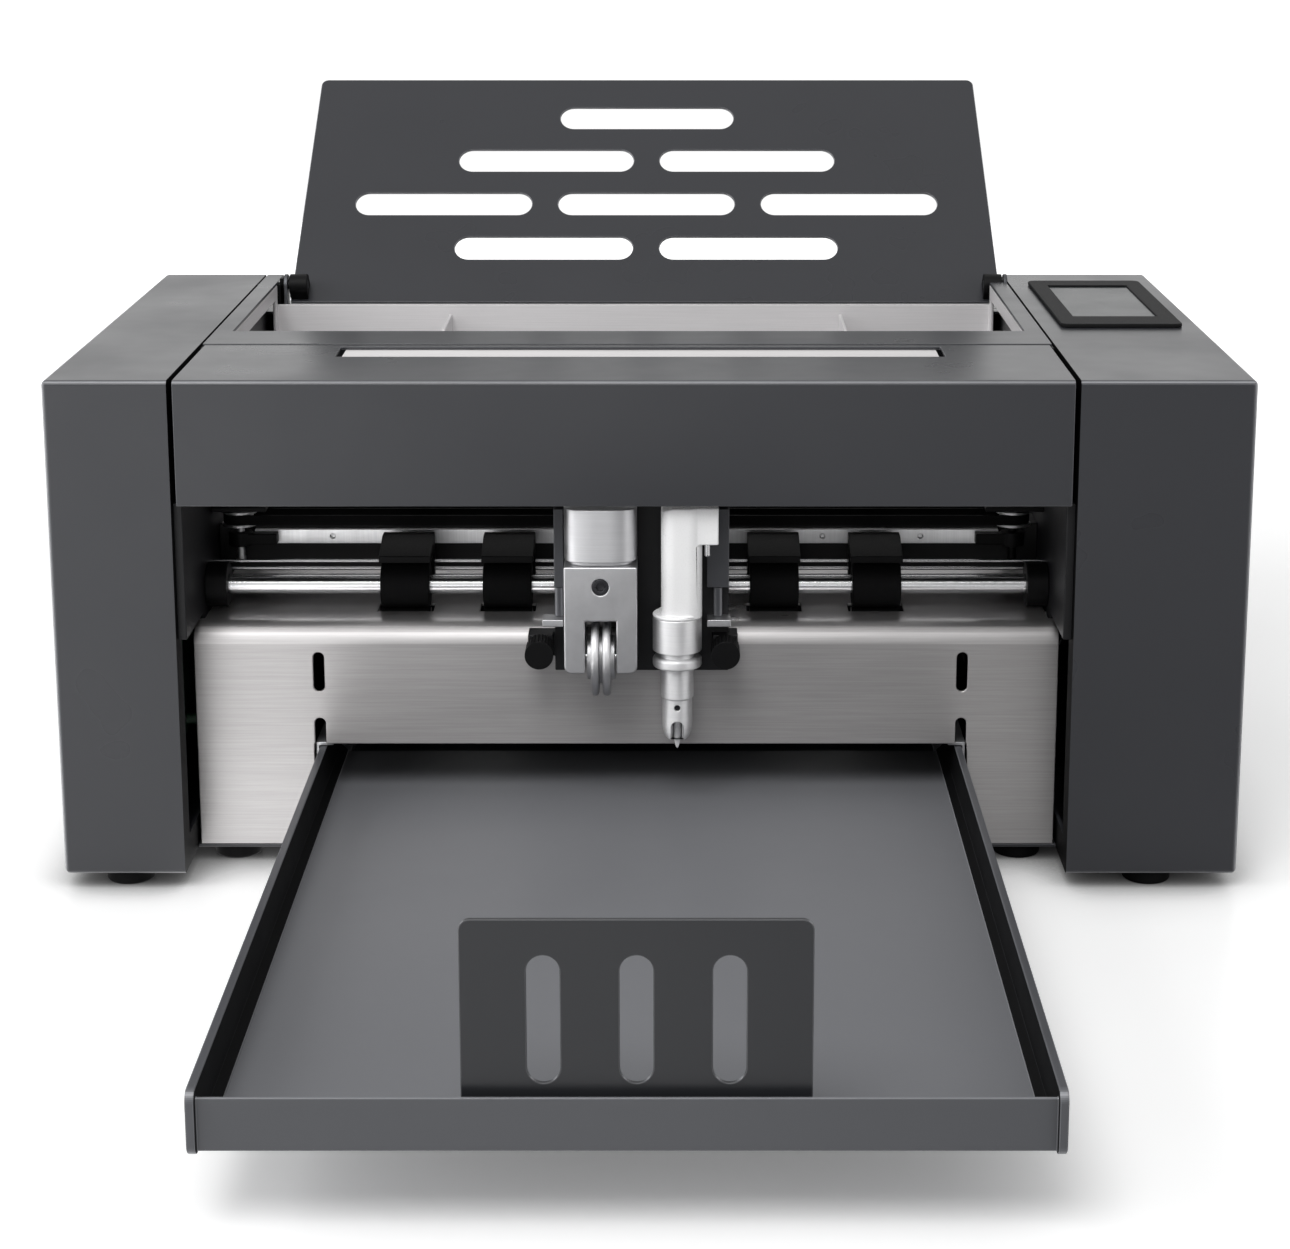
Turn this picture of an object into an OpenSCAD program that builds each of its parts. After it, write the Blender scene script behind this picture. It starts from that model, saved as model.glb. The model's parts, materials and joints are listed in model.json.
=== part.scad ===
// Desktop sheet-fed sticker cutter: steel side covers and hood, rear in-feed tray, belt-driven tool
// carriage with a crease wheel and a drag blade, and an out tray that slides in under the platen.
// Millimetres, +Z up, front towards -Y. Modules measure Y from the front face of the side covers.

/* [Machine] */
// Overall width across both side covers
machine_w = 660; // [640:1:740]
// Depth of the side covers from front to back
cover_d = 382; // [375:1:440]
// Height of the top of the covers above the desk
cover_top = 291; // [286:1:320]
// Width of the left side cover
left_cover_w = 68; // [60:1:80]
// Width of the right side cover
right_cover_w = 96; // [90:1:110]
// Sideways place of the middle line of the sheet path
path_x = -6; // [-9:1:-3]
// Thickness of the folded steel sheet
sheet = 2; // [1.5:0.1:2.5]
// Thickness of each side frame
frame_t = 5; // [4:0.5:6]
// Distance of the front edge of the side frames behind the cover fronts
frame_front = 6; // [3:1:12]
// Edge rounding of the side covers
cover_r = 3; // [2.5:0.5:8]

/* [Feet] */
// Height of the rubber feet
foot_h = 8; // [6:0.5:10]
// Diameter of the rubber feet
foot_d = 27; // [20:1:30]
// Distance of the cover feet from the front and back faces
foot_in = 18; // [16:1:40]
// Distance of the base feet behind the apron and inside the frames
base_foot_in = 16; // [15:1:30]
// Chamfer at the bottom of a foot
foot_chamfer = 1; // [0.5:0.25:2]

/* [Hood] */
// Height of the front face of the hood
hood_h = 70; // [60:1:74]
// Depth of the hood
hood_d = 110; // [106:1:114]
// Rounding of the front top edge of the hood
hood_r = 3; // [2.5:0.5:8]
// Depth of the turned-in lip under the hood
hood_lip = 12; // [6:1:20]
// Open line between the hood and each side cover
hood_gap = 3; // [1:0.1:4]
// Length of the brushed strip in the hood top
strip_l = 346; // [200:1:420]
// Width of the brushed strip
strip_w = 32; // [16:1:40]
// Distance of the middle of the strip behind the hood front
strip_y = 89; // [70:1:89]
// Thickness of the brushed strip
strip_t = 1.5; // [1:0.1:3]
// Overlap of the strip under the edge of its window
strip_lap = 4; // [2:0.5:6]

/* [Feed trough] */
// Open line between the trough rim and each side cover
rim_gap = 1.2; // [0.8:0.1:2]
// Depth of the front strip of the trough rim
rim_d = 47; // [40:1:55]
// Width of the side strips of the trough rim
rim_side_w = 11; // [8:0.5:13]
// Height of the turned-down flange behind the front strip
rim_flange_h = 27; // [15:1:35]
// Distance of the trough back wall in front of the cover backs
wall_in = 36; // [34:1:40]
// Distance of the top of the trough back wall below the cover tops
wall_drop = 15; // [12:1:18]
// Height of the upright part of the trough back wall
wall_h = 20; // [12:1:24]
// Distance of the rear shelf below the cover tops
shelf_drop = 20; // [19:1:24]
// Depth of the trough end plates where they meet the chute foot
end_plate_foot = 20; // [10:1:40]
// Width of the border round the opening of each trough end plate
end_plate_web = 9; // [6:1:14]

/* [Rear tray] */
// Tilt of the rear tray and the chute above the horizontal
tray_tilt = 45; // [43:1:50]
// Length of the rear tray up its slope
tray_l = 192; // [150:1:240]
// Thickness of the rear tray plate
tray_t = 2; // [1.5:0.1:3]
// Narrowing of the tray at its top, on each side
tray_taper = 8; // [0:1:14]
// Rounding of the top corners of the tray
tray_r = 5; // [2:0.5:10]
// Length of tray plate below the hinge
tray_below = 9; // [7:0.5:10]
// Distance of the tray hinge in front of the cover backs
tray_pivot_in = 26.5; // [25:0.5:28]
// Distance of the tray hinge below the cover tops
tray_pivot_drop = 3; // [1:0.5:4]
// Distance of the tray plate behind the hinge axis
tray_offset = 7.5; // [7.2:0.1:8.5]
// Radius of the hinge ears and knuckles
ear_r = 7; // [6:0.5:7]
// Thickness of the hinge ears
ear_t = 2.5; // [2:0.5:5]
// Side gap between tray and hinge ears
ear_gap = 1; // [0.5:0.1:2]
// Width of the knuckles on the tray
knuckle_w = 12; // [6:0.5:14]
// Diameter of the tray hinge pins
tray_pin_d = 6; // [4:0.5:7]
// Length of the slots in the tray
tray_slot_l = 120; // [80:1:130]
// Width of the slots in the tray
tray_slot_w = 19; // [10:1:24]
// Sideways spacing of the slots
tray_slot_pitch = 138; // [134:1:146]
// Spacing of the slot rows
tray_row_pitch = 37.5; // [30:0.5:42]
// Distance of the first slot row from the lower edge of the tray
tray_row_first = 45; // [30:1:50]

/* [Paper guides] */
// Distance of each paper guide from the path middle line
guide_out = 129; // [122:1:140]
// Thickness of the paper guides
guide_t = 2; // [1.5:0.1:3]
// Distance of the top edge of the guides below the cover tops
guide_drop = 21; // [20:1:26]
// Depth of the top edge of the guides
guide_d = 68; // [40:1:80]
// Diameter of the rod under the chute that the guides slide on
guide_rod_d = 6; // [4:0.5:8]
// Distance of that rod up the chute from its foot
guide_rod_up = 112; // [100:1:120]
// Depth of that rod under the chute
guide_rod_down = 10; // [8:0.5:14]
// Sideways travel of the guides, each way
guide_travel = 22; // [10:1:24]
// Width of the block that runs on the rod
guide_foot_w = 14; // [8:1:20]

/* [Apron] */
// Distance of the apron front behind the cover fronts
apron_y = 44; // [44:1:47]
// Height of the platen top above the desk
platen_top = 142; // [140:1:146]
// Depth of the platen
platen_d = 122; // [112:1:128]
// Outer bend radius between platen and front
bend_r = 12; // [6:1:16]
// Open line between the apron and the side covers and frames
apron_gap = 1.5; // [1:0.1:3]
// Width of the hook slots
hook_w = 6; // [4:0.5:8]
// Height of the hook slots
hook_h = 23; // [16:1:26]
// Height of the top of the upper hook slots above the desk
hook_top = 125; // [120:1:127]
// Step down to the lower hook slots
hook_step = 39; // [34:1:42]

/* [Out tray] */
// Width of the out tray over its side plates
out_w = 369; // [340:1:372]
// Reach of the out tray in front of the cover fronts
out_reach = 409; // [350:1:440]
// Length of the out tray behind the cover fronts
out_inside = 118; // [90:1:122]
// Height of the underside of the out tray above the desk
out_bottom = 38; // [34:1:40]
// Height of the side plates
out_side_h = 30; // [26:1:32]
// Thickness of the side plates
out_side_t = 4; // [3:0.5:6]
// Rounding of the front corners of the side plates
out_side_r = 6; // [3:0.5:10]
// Height of the front lip
lip_h = 24; // [18:1:26]
// Distance of the front lip behind the front of the side plates
lip_in = 3; // [1:0.5:6]
// Clearance of the apron opening around the tray
opening_gap = 2.5; // [1.5:0.5:3]
// Width of the ledges of the tray runners
runner_ledge = 8; // [5:1:10]

/* [Stop plate] */
// Sideways place of the stop plate from the path middle line
stop_shift = 4; // [-8:1:8]
// Width of the stop plate
stop_w = 148; // [120:1:200]
// Height of the stop plate above its hinge
stop_h = 94; // [60:1:110]
// Thickness of the stop plate
stop_t = 2.5; // [2:0.1:4]
// Rounding of the top corners of the stop plate
stop_r = 5; // [2:0.5:10]
// Distance of the stop hinge behind the front of the side plates
stop_in = 11; // [10:0.5:16]
// Diameter of the stop hinge pin
stop_pin_d = 3; // [2:0.5:4]
// Radius of the stop hinge knuckles
stop_knuckle_r = 3.2; // [3:0.1:4]
// Width of the slots in the stop plate
stop_slot_w = 14; // [8:1:18]
// Height of the slots in the stop plate
stop_slot_h = 57; // [30:1:60]
// Spacing of the slots in the stop plate
stop_slot_pitch = 39; // [30:1:44]
// Distance of the top of the slots below the top of the stop plate
stop_slot_drop = 16; // [10:1:24]

/* [Feed rollers] */
// Distance of the feed shaft behind the cover fronts
feed_y = 80; // [78:1:81]
// Diameter of the feed shaft
feed_d = 11; // [8:0.5:13]
// Diameter of the rubber feed rollers
roller_d = 26; // [22:0.5:27]
// Width of the rubber feed rollers
roller_w = 28; // [16:1:34]
// Distance of the outer feed rollers from the path middle line
roller_out = 136; // [130:1:150]
// Distance of the inner feed rollers from the path middle line
roller_in = 77; // [70:1:90]
// Gap between the feed rollers and the platen
nip_gap = 0.8; // [0.6:0.1:1.5]
// Diameter of the grit rollers under the platen
grit_d = 14; // [12:0.5:16]
// Diameter of the grit roller shaft
grit_shaft_d = 8; // [6:0.5:9]
// Diameter of the feed shaft bearings
bearing_d = 26; // [20:1:28]
// Width of the feed shaft bearings
bearing_w = 21; // [12:1:24]
// Diameter of the thin guide rods behind the feed shaft
rod_d = 3; // [2:0.25:3.5]
// Distance of the thin rods behind the feed shaft
rod_back = 20; // [19:0.5:21]
// Height step between the thin rods
rod_step = 4.3; // [4:0.1:5]
// Width of the roller clips
clip_w = 30; // [20:1:36]
// Height of the roller clips above the rollers
clip_h = 11; // [6:0.5:12]

/* [Pick-up roller] */
// Diameter of the pick-up rollers
pickup_d = 30; // [24:1:34]
// Width of each pick-up roller
pickup_w = 22; // [14:1:30]
// Spacing of the pick-up rollers
pickup_pitch = 60; // [40:1:80]
// Distance of the pick-up nip up the chute from its foot
pickup_up = 20; // [14:1:24]
// Diameter of the pick-up shaft
pickup_shaft_d = 8; // [6:0.5:10]

/* [Carriage drive] */
// Distance of the rail front behind the cover fronts
rail_y = 120; // [119:0.5:122]
// Height of the rail
rail_h = 8.5; // [6:0.5:9]
// Depth of the rail
rail_t = 6; // [4:0.5:7]
// Height of the rail underside above the platen
rail_up = 28; // [26:0.5:30]
// Diameter of the screw holes in the rail
rail_hole_d = 3; // [2:0.5:4]
// Spacing of the screw holes in the rail
rail_hole_pitch = 58; // [40:1:80]
// Depth of the beam behind the rail
beam_d = 28; // [20:1:32]
// Height of the beam
beam_h = 29; // [20:1:31]
// Radius of the belt pulleys under the belt
pulley_r = 8; // [7:0.25:9]
// Diameter of the pulley pins
pulley_pin_d = 5; // [4:0.5:6]
// Width of the carriage belt
belt_w = 6; // [5:0.5:8]
// Thickness of the belts
belt_t = 1.5; // [1:0.1:1.6]
// Distance of the drive pulley from the left frame
drive_in = 14; // [13.5:0.5:18]
// Distance of the idler pulley from the right frame
idler_in = 16; // [12:0.5:20]
// Diameter of the carriage motor
carriage_motor_d = 26; // [20:1:26]
// Length of the carriage motor
carriage_motor_l = 36; // [24:1:50]

/* [Carriage] */
// Rest place of the middle of the carriage
carriage_x = -5; // [-8:1:0]
// Width of the carriage front plate
carriage_w = 98; // [96:1:104]
// Distance of the carriage front plate behind the cover fronts
plate_y = 32.5; // [32.5:0.25:33.5]
// Thickness of the carriage front plate
plate_t = 9; // [7:0.5:9.5]
// Height of the carriage front plate
plate_h = 97; // [94:1:102]
// Gap between the carriage and the underside of the hood
plate_gap = 6; // [4:0.5:7]
// Height of the bridge from the plate to the rail
bridge_h = 11; // [8:0.5:12]
// Width of the bridge and the rail shoe
bridge_w = 50; // [36:1:60]
// Width of the tool guides on the plate
tool_guide_w = 10; // [6:0.5:12]
// Depth of the tool guides on the plate
tool_guide_t = 4; // [2:0.5:5]
// Height of the tool guides on the plate
tool_guide_h = 18; // [12:1:20]
// Vertical travel of the tools
tool_travel = 5; // [3:0.5:5]
// Distance of the left clamp knob from the carriage middle
knob_left_out = 57; // [56:0.5:60]
// Distance of the right clamp knob from the carriage middle
knob_right_out = 47; // [44:0.5:50]
// Diameter of the clamp knobs
knob_d = 16; // [12:0.5:16]
// Length of the clamp knobs
knob_l = 17; // [10:0.5:18]
// Diameter of the clamp knob screws
knob_screw_d = 5; // [4:0.5:6]
// Height of the knob axes above the lower edge of the plate
knob_up = 15.5; // [12:0.5:18]
// Diameter of the lift cylinders
lift_d = 5; // [4:0.25:5.25]
// Height of the blocks above the lift cylinders
lift_block_h = 45; // [30:1:46]
// Length of the lift cylinders
lift_l = 17; // [10:1:18]

/* [Crease tool] */
// Distance of the crease tool left of the carriage middle
crease_out = 22.5; // [22:0.25:23]
// Width of the crease tool
crease_w = 40.5; // [36:0.5:41]
// Depth of the crease tool
crease_d = 29; // [26:0.5:29.5]
// Rounding of the upright edges of the cap
cap_r = 6; // [4:0.5:10]
// Height of the cap
cap_h = 30; // [20:1:32]
// Height of the neck under the cap
neck_h = 2.3; // [1.5:0.1:4]
// Distance of the neck inside the cap outline
neck_in = 2.5; // [1:0.5:4]
// Height of the crease block
crease_h = 61; // [56:1:64]
// Rounding of the lower corners of the crease block
crease_r = 4; // [3:0.5:8]
// Width of the wheel slot
wheel_slot_w = 17.4; // [15:0.2:19]
// Height of the wheel slot
wheel_slot_h = 30; // [29.5:0.5:33]
// Diameter of the crease wheel
wheel_d = 44; // [38:0.5:44.5]
// Width over both discs of the crease wheel
wheel_w = 10.6; // [9:0.2:14]
// Width of each disc of the crease wheel
disc_w = 4.2; // [3:0.1:4.4]
// Radial depth of the groove between the discs
disc_groove = 7; // [3:0.5:10]
// Diameter of the hub that keeps the crease wheel in the middle of its slot
hub_d = 25; // [16:0.5:28]
// Height of the wheel axle above the underside of the block
wheel_up = 6; // [5.5:0.5:6.5]
// Diameter of the wheel axle
axle_d = 6; // [4:0.5:8]
// Diameter of the socket screw head
screw_d = 9; // [6:0.5:12]
// Height of the socket screw head
screw_h = 5; // [3:0.5:8]
// Distance of the socket screw below the top of the block
screw_drop = 11.5; // [9:0.5:16]

/* [Blade tool] */
// Distance of the blade axis right of the carriage middle
blade_out = 20; // [19.5:0.25:20.5]
// Distance of both tool axes behind the cover fronts
tool_y = 17; // [16.5:0.25:17.5]
// Distance of the tops of the tools below the hood
tool_gap = 3; // [2.5:0.5:6]
// Width of the white tool head
head_w = 22.8; // [20:0.2:24]
// Depth of the white tool head
head_d = 26; // [22:0.5:28]
// Height of the white tool head
head_h = 63.5; // [58:0.5:66]
// Corner rounding of the white tool head
head_r = 8; // [3:0.5:10]
// Sideways offset of the head from the blade axis
head_shift = 2.4; // [0:0.2:3]
// Width of the side block of the head
side_block_w = 9; // [6:0.5:10]
// Height of the side block of the head
side_block_h = 21; // [14:1:28]
// Depth of the side block of the head
side_block_d = 14; // [8:1:15]
// Diameter of the pin under the side block
head_pin_d = 3.3; // [2:0.1:5]
// Length of the pin under the side block
head_pin_l = 8; // [4:0.5:12]
// Height of the flange under the white tool head
head_flange_h = 2; // [1:0.25:3]
// Diameter of the sleeve and the flange
sleeve_d = 27.4; // [24:0.2:28]
// Height of the sleeve
sleeve_h = 19.5; // [14:0.5:24]
// Height of the groove under the sleeve
groove_h = 3.5; // [2:0.5:5]
// Height of the flange
flange_h = 6; // [4:0.5:8]
// Diameter of the barrel
barrel_d = 18.4; // [16:0.2:20]
// Height of the barrel
barrel_h = 17.5; // [12:0.5:20]
// Height of the nose
nose_h = 25; // [20:0.5:26]
// Diameter of the nose tip
nose_tip_d = 9; // [8.5:0.25:11]
// Diameter of the blade shank
blade_d = 5; // [3:0.25:6]
// Height of the blade from its point to the top of the shank
blade_l = 32; // [28:0.5:36]
// Height of the pointed end of the blade
blade_point = 13; // [8:0.5:14]
// Distance that the blade point stands below the nose
blade_proud = 6; // [3:0.5:7]

/* [Screen] */
// Width of the screen bezel
bezel_w = 73; // [60:1:80]
// Depth of the screen bezel
bezel_d = 170; // [150:1:190]
// Height of the screen bezel above the cover
bezel_h = 2.5; // [1.5:0.1:4]
// Corner rounding of the bezel
bezel_r = 5; // [2:0.5:10]
// Width of the screen glass
glass_w = 51; // [40:1:56]
// Depth of the screen glass
glass_d = 121; // [100:1:140]
// Height of the screen glass above the cover
glass_h = 1.5; // [0.8:0.1:2]
// Distance of the middle of the bezel behind the cover fronts
bezel_y = 253; // [230:1:270]
// Distance of the middle of the glass behind the middle of the bezel
glass_shift = 4; // [0:0.5:8]

/* [Inside] */
// Side length of the feed motor
feed_motor_s = 42; // [35:1:44]
// Length of the feed motor
feed_motor_l = 38; // [28:1:44]
// Distance of the feed motor axis behind the cover fronts
feed_motor_y = 180; // [160:1:200]
// Height of the feed motor axis above the desk
feed_motor_z = 105; // [100:1:112]
// Radius of the feed pulleys under the belt
feed_pulley_r = 12; // [9:0.5:16]
// Width of the feed belt
feed_belt_w = 7; // [5:0.5:9]
// Length of the main board
board_l = 150; // [100:1:180]
// Height of the main board
board_h = 120; // [80:1:140]
// Length of the standoffs of the main board
standoff_l = 8; // [5:0.5:12]
// Width of the power supply
supply_w = 40; // [30:1:50]
// Length of the power supply
supply_l = 110; // [80:1:120]
// Height of the power supply
supply_h = 90; // [60:1:110]
// Width of the socket panel on the back
socket_w = 56; // [50:1:66]
// Height of the socket panel on the back
socket_h = 86; // [80:1:100]
// Height of the middle of the socket panel above the desk
socket_z = 85; // [70:1:110]

/* [Clearances] */
// Radial clearance of a running shaft or pin
run_gap = 0.05; // [0.02:0.01:0.09]
// Gap between sliding faces
slide_gap = 0.3; // [0.2:0.05:0.5]
// Open line between neighbouring panels
seam = 1; // [0.5:0.1:1.5]

/* [Hidden] */
$fn = 64;

// Colours
charcoal = "#4a4b4f";
brushed = "#b5b3b3";
black = "#1c1c1e";
chrome = "#d8d8da";
silver = "#c4c4c6";
white = "#f2f2f0";
rubber = "#161617";
grey = "#6c6d70";

// Sideways places of the covers and frames
x_left = left_cover_w - machine_w / 2;
x_right = machine_w / 2 - right_cover_w;
frame_left = x_left + frame_t;
frame_right = x_right - frame_t;
left_cover_x = x_left - left_cover_w / 2;
right_cover_x = x_right + right_cover_w / 2;
hood_x0 = x_left + hood_gap;
hood_x1 = x_right - hood_gap;
apron_x0 = x_left + apron_gap;
apron_x1 = x_right - apron_gap;
platen_x0 = frame_left + apron_gap;
platen_x1 = frame_right - apron_gap;
lap_y = apron_y + bend_r + apron_gap;

// Heights of the base, the hood and the trough
pan_top = foot_h + sheet;
cover_under = cover_top - sheet;
hood_bottom = cover_top - hood_h;
rim_y0 = hood_d + seam;
rim_y1 = rim_y0 + rim_d;
wall_y = cover_d - wall_in;
wall_top = cover_top - wall_drop;
wall_bottom = wall_top - wall_h;
shelf_top = cover_top - shelf_drop;
platen_back = apron_y + platen_d;
chute_y = wall_y - (wall_bottom - platen_top) / tan(tray_tilt);
chute_l = (wall_bottom - platen_top) / sin(tray_tilt);
rim_x0 = x_left + rim_gap;
rim_x1 = x_right - rim_gap;
rim_in_left = rim_x0 + rim_side_w;
rim_in_right = rim_x1 - rim_side_w;

// Rear tray hinge and reach
tray_pivot_y = cover_d - tray_pivot_in;
tray_pivot_z = cover_top - tray_pivot_drop;
tray_half = x_right - ear_t - ear_gap - path_x;
tray_above = tray_l - tray_below;
tray_back_y = tray_pivot_y + tray_above * cos(tray_tilt) + (tray_offset + tray_t) * sin(tray_tilt);
tray_rows = [2, 3, 2, 1];

// The part stands with the middle of its box over the origin
y_shift = (out_reach - tray_back_y) / 2;

// Feed rollers
feed_z = platen_top + nip_gap + roller_d / 2;
grit_rise = 0.2;
grit_z = platen_top + grit_rise - grit_d / 2;
roller_places = [for (side = [-1, 1], out = [roller_in, roller_out]) path_x + side * out];
roller_top = feed_z + roller_d / 2;
rod_y = feed_y + rod_back;
rod_z = feed_z + feed_d / 2 - rod_step / 4;
rod_heights = [for (i = [-1:1]) rod_z + i * rod_step];
window_gap = 2;
bearing_hole_gap = 0.5;
clip_gap = 1.2;
clip_bottom = roller_top + clip_gap;
clip_leg_t = 8;
clip_reach = 7;
clip_lip = 4;

// Pick-up roller, square to the chute over its nip
pickup_reach = pickup_d / 2 + nip_gap;
pickup_y = chute_y + pickup_up * cos(tray_tilt) - pickup_reach * sin(tray_tilt);
pickup_z = platen_top + pickup_up * sin(tray_tilt) + pickup_reach * cos(tray_tilt);

// Rail, beam and belt
rail_z = platen_top + rail_up;
rail_top = rail_z + rail_h;
beam_y = rail_y + rail_t;
beam_over = 2.5;
beam_top = rail_top + beam_over;
belt_z = beam_top + 3;
belt_top = belt_z + belt_w;
flange_r = pulley_r + belt_t + seam;
flange_t = 1.5;
pulley_y = rail_y - 3;
drive_x = frame_left + drive_in;
idler_x = frame_right - idler_in;
rail_end = 8;
rail_x0 = drive_x + rail_end;
rail_x1 = idler_x - rail_end;
belt_gap = 0.08;
bracket_z = belt_top + flange_t + 2.5;
bracket_t = 3;
pin_bottom = rail_z - 8;
pin_ball_r = 3;
housing_d = 14;

// Carriage
plate_top = hood_bottom - plate_gap;
plate_bottom = plate_top - plate_h;
plate_back = plate_y + plate_t;
shoe_y = rail_y - 7;
shoe_wall = 3.5;
plate_left = carriage_x - carriage_w / 2;
plate_right = carriage_x + carriage_w / 2;
bridge_bottom = plate_top - bridge_h;
lug_w = 14;
lug_y = 26;
knob_z = plate_bottom + knob_up;
knob_left_x = carriage_x - knob_left_out;
knob_right_x = carriage_x + knob_right_out;
lift_y = plate_y - lift_d / 2 - 0.25;
lift_block_t = 5.5;
lift_top = plate_top - 2;
lift_bottom = lift_top - lift_block_h - lift_l;
clamp_bracket_t = 4;
clamp_bracket_d = 12.5;

// Tools
tool_top = hood_bottom - tool_gap;
tool_back = plate_y - slide_gap;
crease_x = carriage_x - crease_out;
block_top = tool_top - cap_h - neck_h;
block_bottom = block_top - crease_h;
slot_top = block_bottom + wheel_slot_h;
wheel_z = block_bottom + wheel_up;
tool_guide_z = slot_top + tool_travel + 1;
blade_x = carriage_x + blade_out;
head_x = blade_x + head_shift;
head_bottom = tool_top - head_h;
groove_top = head_bottom - sleeve_h;
flange_top = groove_top - groove_h;
barrel_top = flange_top - flange_h;
nose_top = barrel_top - barrel_h;
nose_bottom = nose_top - nose_h;
blade_bottom = nose_bottom - blade_proud;
sleeve_neck_d = 20;
nose_window_w = 7;
nose_window_h = 12;

// Out tray
out_left = path_x - out_w / 2;
out_right = path_x + out_w / 2;
out_top = out_bottom + out_side_h;
floor_z = out_bottom + sheet;
floor_top = floor_z + sheet;
opening_half = out_w / 2 + opening_gap;
hook_x = out_w / 2 + out_side_t / 2 - hook_w / 2;
runner_y0 = apron_y + sheet + 2;
runner_y1 = cover_d - 3 * sheet;
stop_x = path_x + stop_shift;
stop_y = stop_in - out_reach;
stop_z = floor_top + stop_knuckle_r + 1.5;
stop_ear_t = 4;
stop_ear_gap = 0.5;

// Socket panel and rocker
panel_t = 2;
rocker_w = 14;
rocker_h = 21;
rocker_d = 9;
rocker_tilt = 8;
rocker_up = 26;
rocker_z = socket_z + rocker_up;
rocker_gap = 1.2;
rocker_pin_d = 3;

// A profile of Y and Z points or shapes drawn along X
module along_x(x0, x1) {
    translate([x0, 0, 0]) rotate([90, 0, 90]) linear_extrude(x1 - x0) children();
}

// A profile of X and Z points or shapes drawn along Y
module along_y(y0, y1) {
    translate([0, y1, 0]) rotate([90, 0, 0]) linear_extrude(y1 - y0) children();
}

module box(x0, x1, y0, y1, z0, z1) {
    translate([x0, y0, z0]) cube([x1 - x0, y1 - y0, z1 - z0]);
}

module x_rod(x0, x1, y, z, d) {
    translate([x0, y, z]) rotate([0, 90, 0]) cylinder(d = d, h = x1 - x0);
}

module y_rod(x, y0, y1, z, d) {
    translate([x, y0, z]) rotate([-90, 0, 0]) cylinder(d = d, h = y1 - y0);
}

module z_rod(x, y, z0, z1, d) {
    translate([x, y, z0]) cylinder(d = d, h = z1 - z0);
}

// Rectangle round its middle with true arc corners
module rounded_rect(w, h, r) {
    square([w - 2 * r, h], center = true);
    square([w, h - 2 * r], center = true);
    for (x = [-1, 1], y = [-1, 1]) translate([x * (w / 2 - r), y * (h / 2 - r)]) circle(r);
}

// Slot with round ends along its first axis
module obround(l, w) {
    square([l - w, w], center = true);
    for (side = [-1, 1]) translate([side * (l - w) / 2, 0]) circle(d = w);
}

// Rectangle from a low to a high corner whose low-Y top corner is round
module bent_corner(y0, y1, z0, z1, r) {
    translate([y0, z0]) square([y1 - y0, z1 - z0 - r]);
    translate([y0 + r, z0]) square([y1 - y0 - r, z1 - z0]);
    translate([y0 + r, z1 - r]) circle(r);
}

// Everything moves from the front face of the covers to the middle of the box
module placed() {
    translate([0, y_shift, 0]) children();
}

// Slope of the chute, with its foot at the origin and its normal along +Z
module on_chute() {
    translate([0, chute_y, platen_top]) rotate([tray_tilt, 0, 0]) children();
}

// Hinge of the rear tray, with the slope along +Y and the front of the tray along +Z
module on_tray() {
    translate([path_x, tray_pivot_y, tray_pivot_z]) rotate([tray_tilt, 0, 0]) children();
}

// Box rounded everywhere but at its open side, set in from the outer faces
module cover_form(x_open, x_outer, inset) {
    r = max(cover_r - inset, 0.5);
    side = sign(x_outer - x_open);
    x_end = x_outer - side * (inset + r);
    y_ends = [inset + r, cover_d - inset - r];
    z_ends = [foot_h + inset + r, cover_top - inset - r];
    hull() {
        for (y = y_ends, z = z_ends) {
            translate([x_end, y, z]) sphere(r, $fn = 32);
            translate([x_open, y, z]) rotate([0, side * 90, 0]) cylinder(r = r, h = sheet, $fn = 32);
        }
    }
}

// Shell with a lip round its open side that lies on the side frame
module side_cover(x_open, x_outer) {
    side = sign(x_outer - x_open);
    lip = 18;
    difference() {
        cover_form(x_open, x_outer, 0);
        cover_form(x_open + side * sheet, x_outer, sheet);
        box(x_open - 2 * sheet, x_open + 2 * sheet, lip, cover_d - lip, foot_h + lip, cover_top - lip);
    }
}

module side_frame(x0) {
    outline = [
        [lap_y, pan_top],
        [lap_y, platen_top + apron_gap],
        [frame_front, platen_top + apron_gap],
        [frame_front, hood_bottom],
        [rim_y0, hood_bottom],
        [rim_y0, cover_under],
        [wall_y, cover_under],
        [wall_y, shelf_top - sheet],
        [cover_d - sheet, shelf_top - sheet],
        [cover_d - sheet, pan_top]
    ];
    past = 1;
    difference() {
        along_x(x0, x0 + frame_t) polygon(outline);
        x_rod(x0 - past, x0 + frame_t + past, feed_y, feed_z, feed_d + 2 * bearing_hole_gap);
        x_rod(x0 - past, x0 + frame_t + past, feed_y, grit_z, grit_shaft_d + 2 * run_gap);
        x_rod(x0 - past, x0 + frame_t + past, pickup_y, pickup_z, pickup_shaft_d + 2 * run_gap);
        children();
    }
}

module base_pan() placed() color(charcoal) {
    flange_h = 15;
    box(x_left, x_right, apron_y, cover_d - sheet, foot_h, pan_top);
    box(frame_left, frame_right, apron_y + sheet, apron_y + 2 * sheet, pan_top, pan_top + flange_h);
}

module left_side_frame() placed() color(black) side_frame(x_left);

module right_side_frame() placed() color(black) side_frame(frame_right) {
    x_rod(frame_right - sheet, x_right + sheet, feed_motor_y, feed_motor_z, pulley_pin_d + sheet);
}

module left_side_cover() placed() color(charcoal) side_cover(x_left, -machine_w / 2);

module right_side_cover() placed() color(charcoal) difference() {
    side_cover(x_right, machine_w / 2);
    past = 1;
    cut_w = socket_w - 10;
    cut_h = socket_h - 10;
    box(right_cover_x - cut_w / 2, right_cover_x + cut_w / 2, cover_d - sheet - past, cover_d + past,
        socket_z - cut_h / 2, socket_z + cut_h / 2);
}

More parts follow.
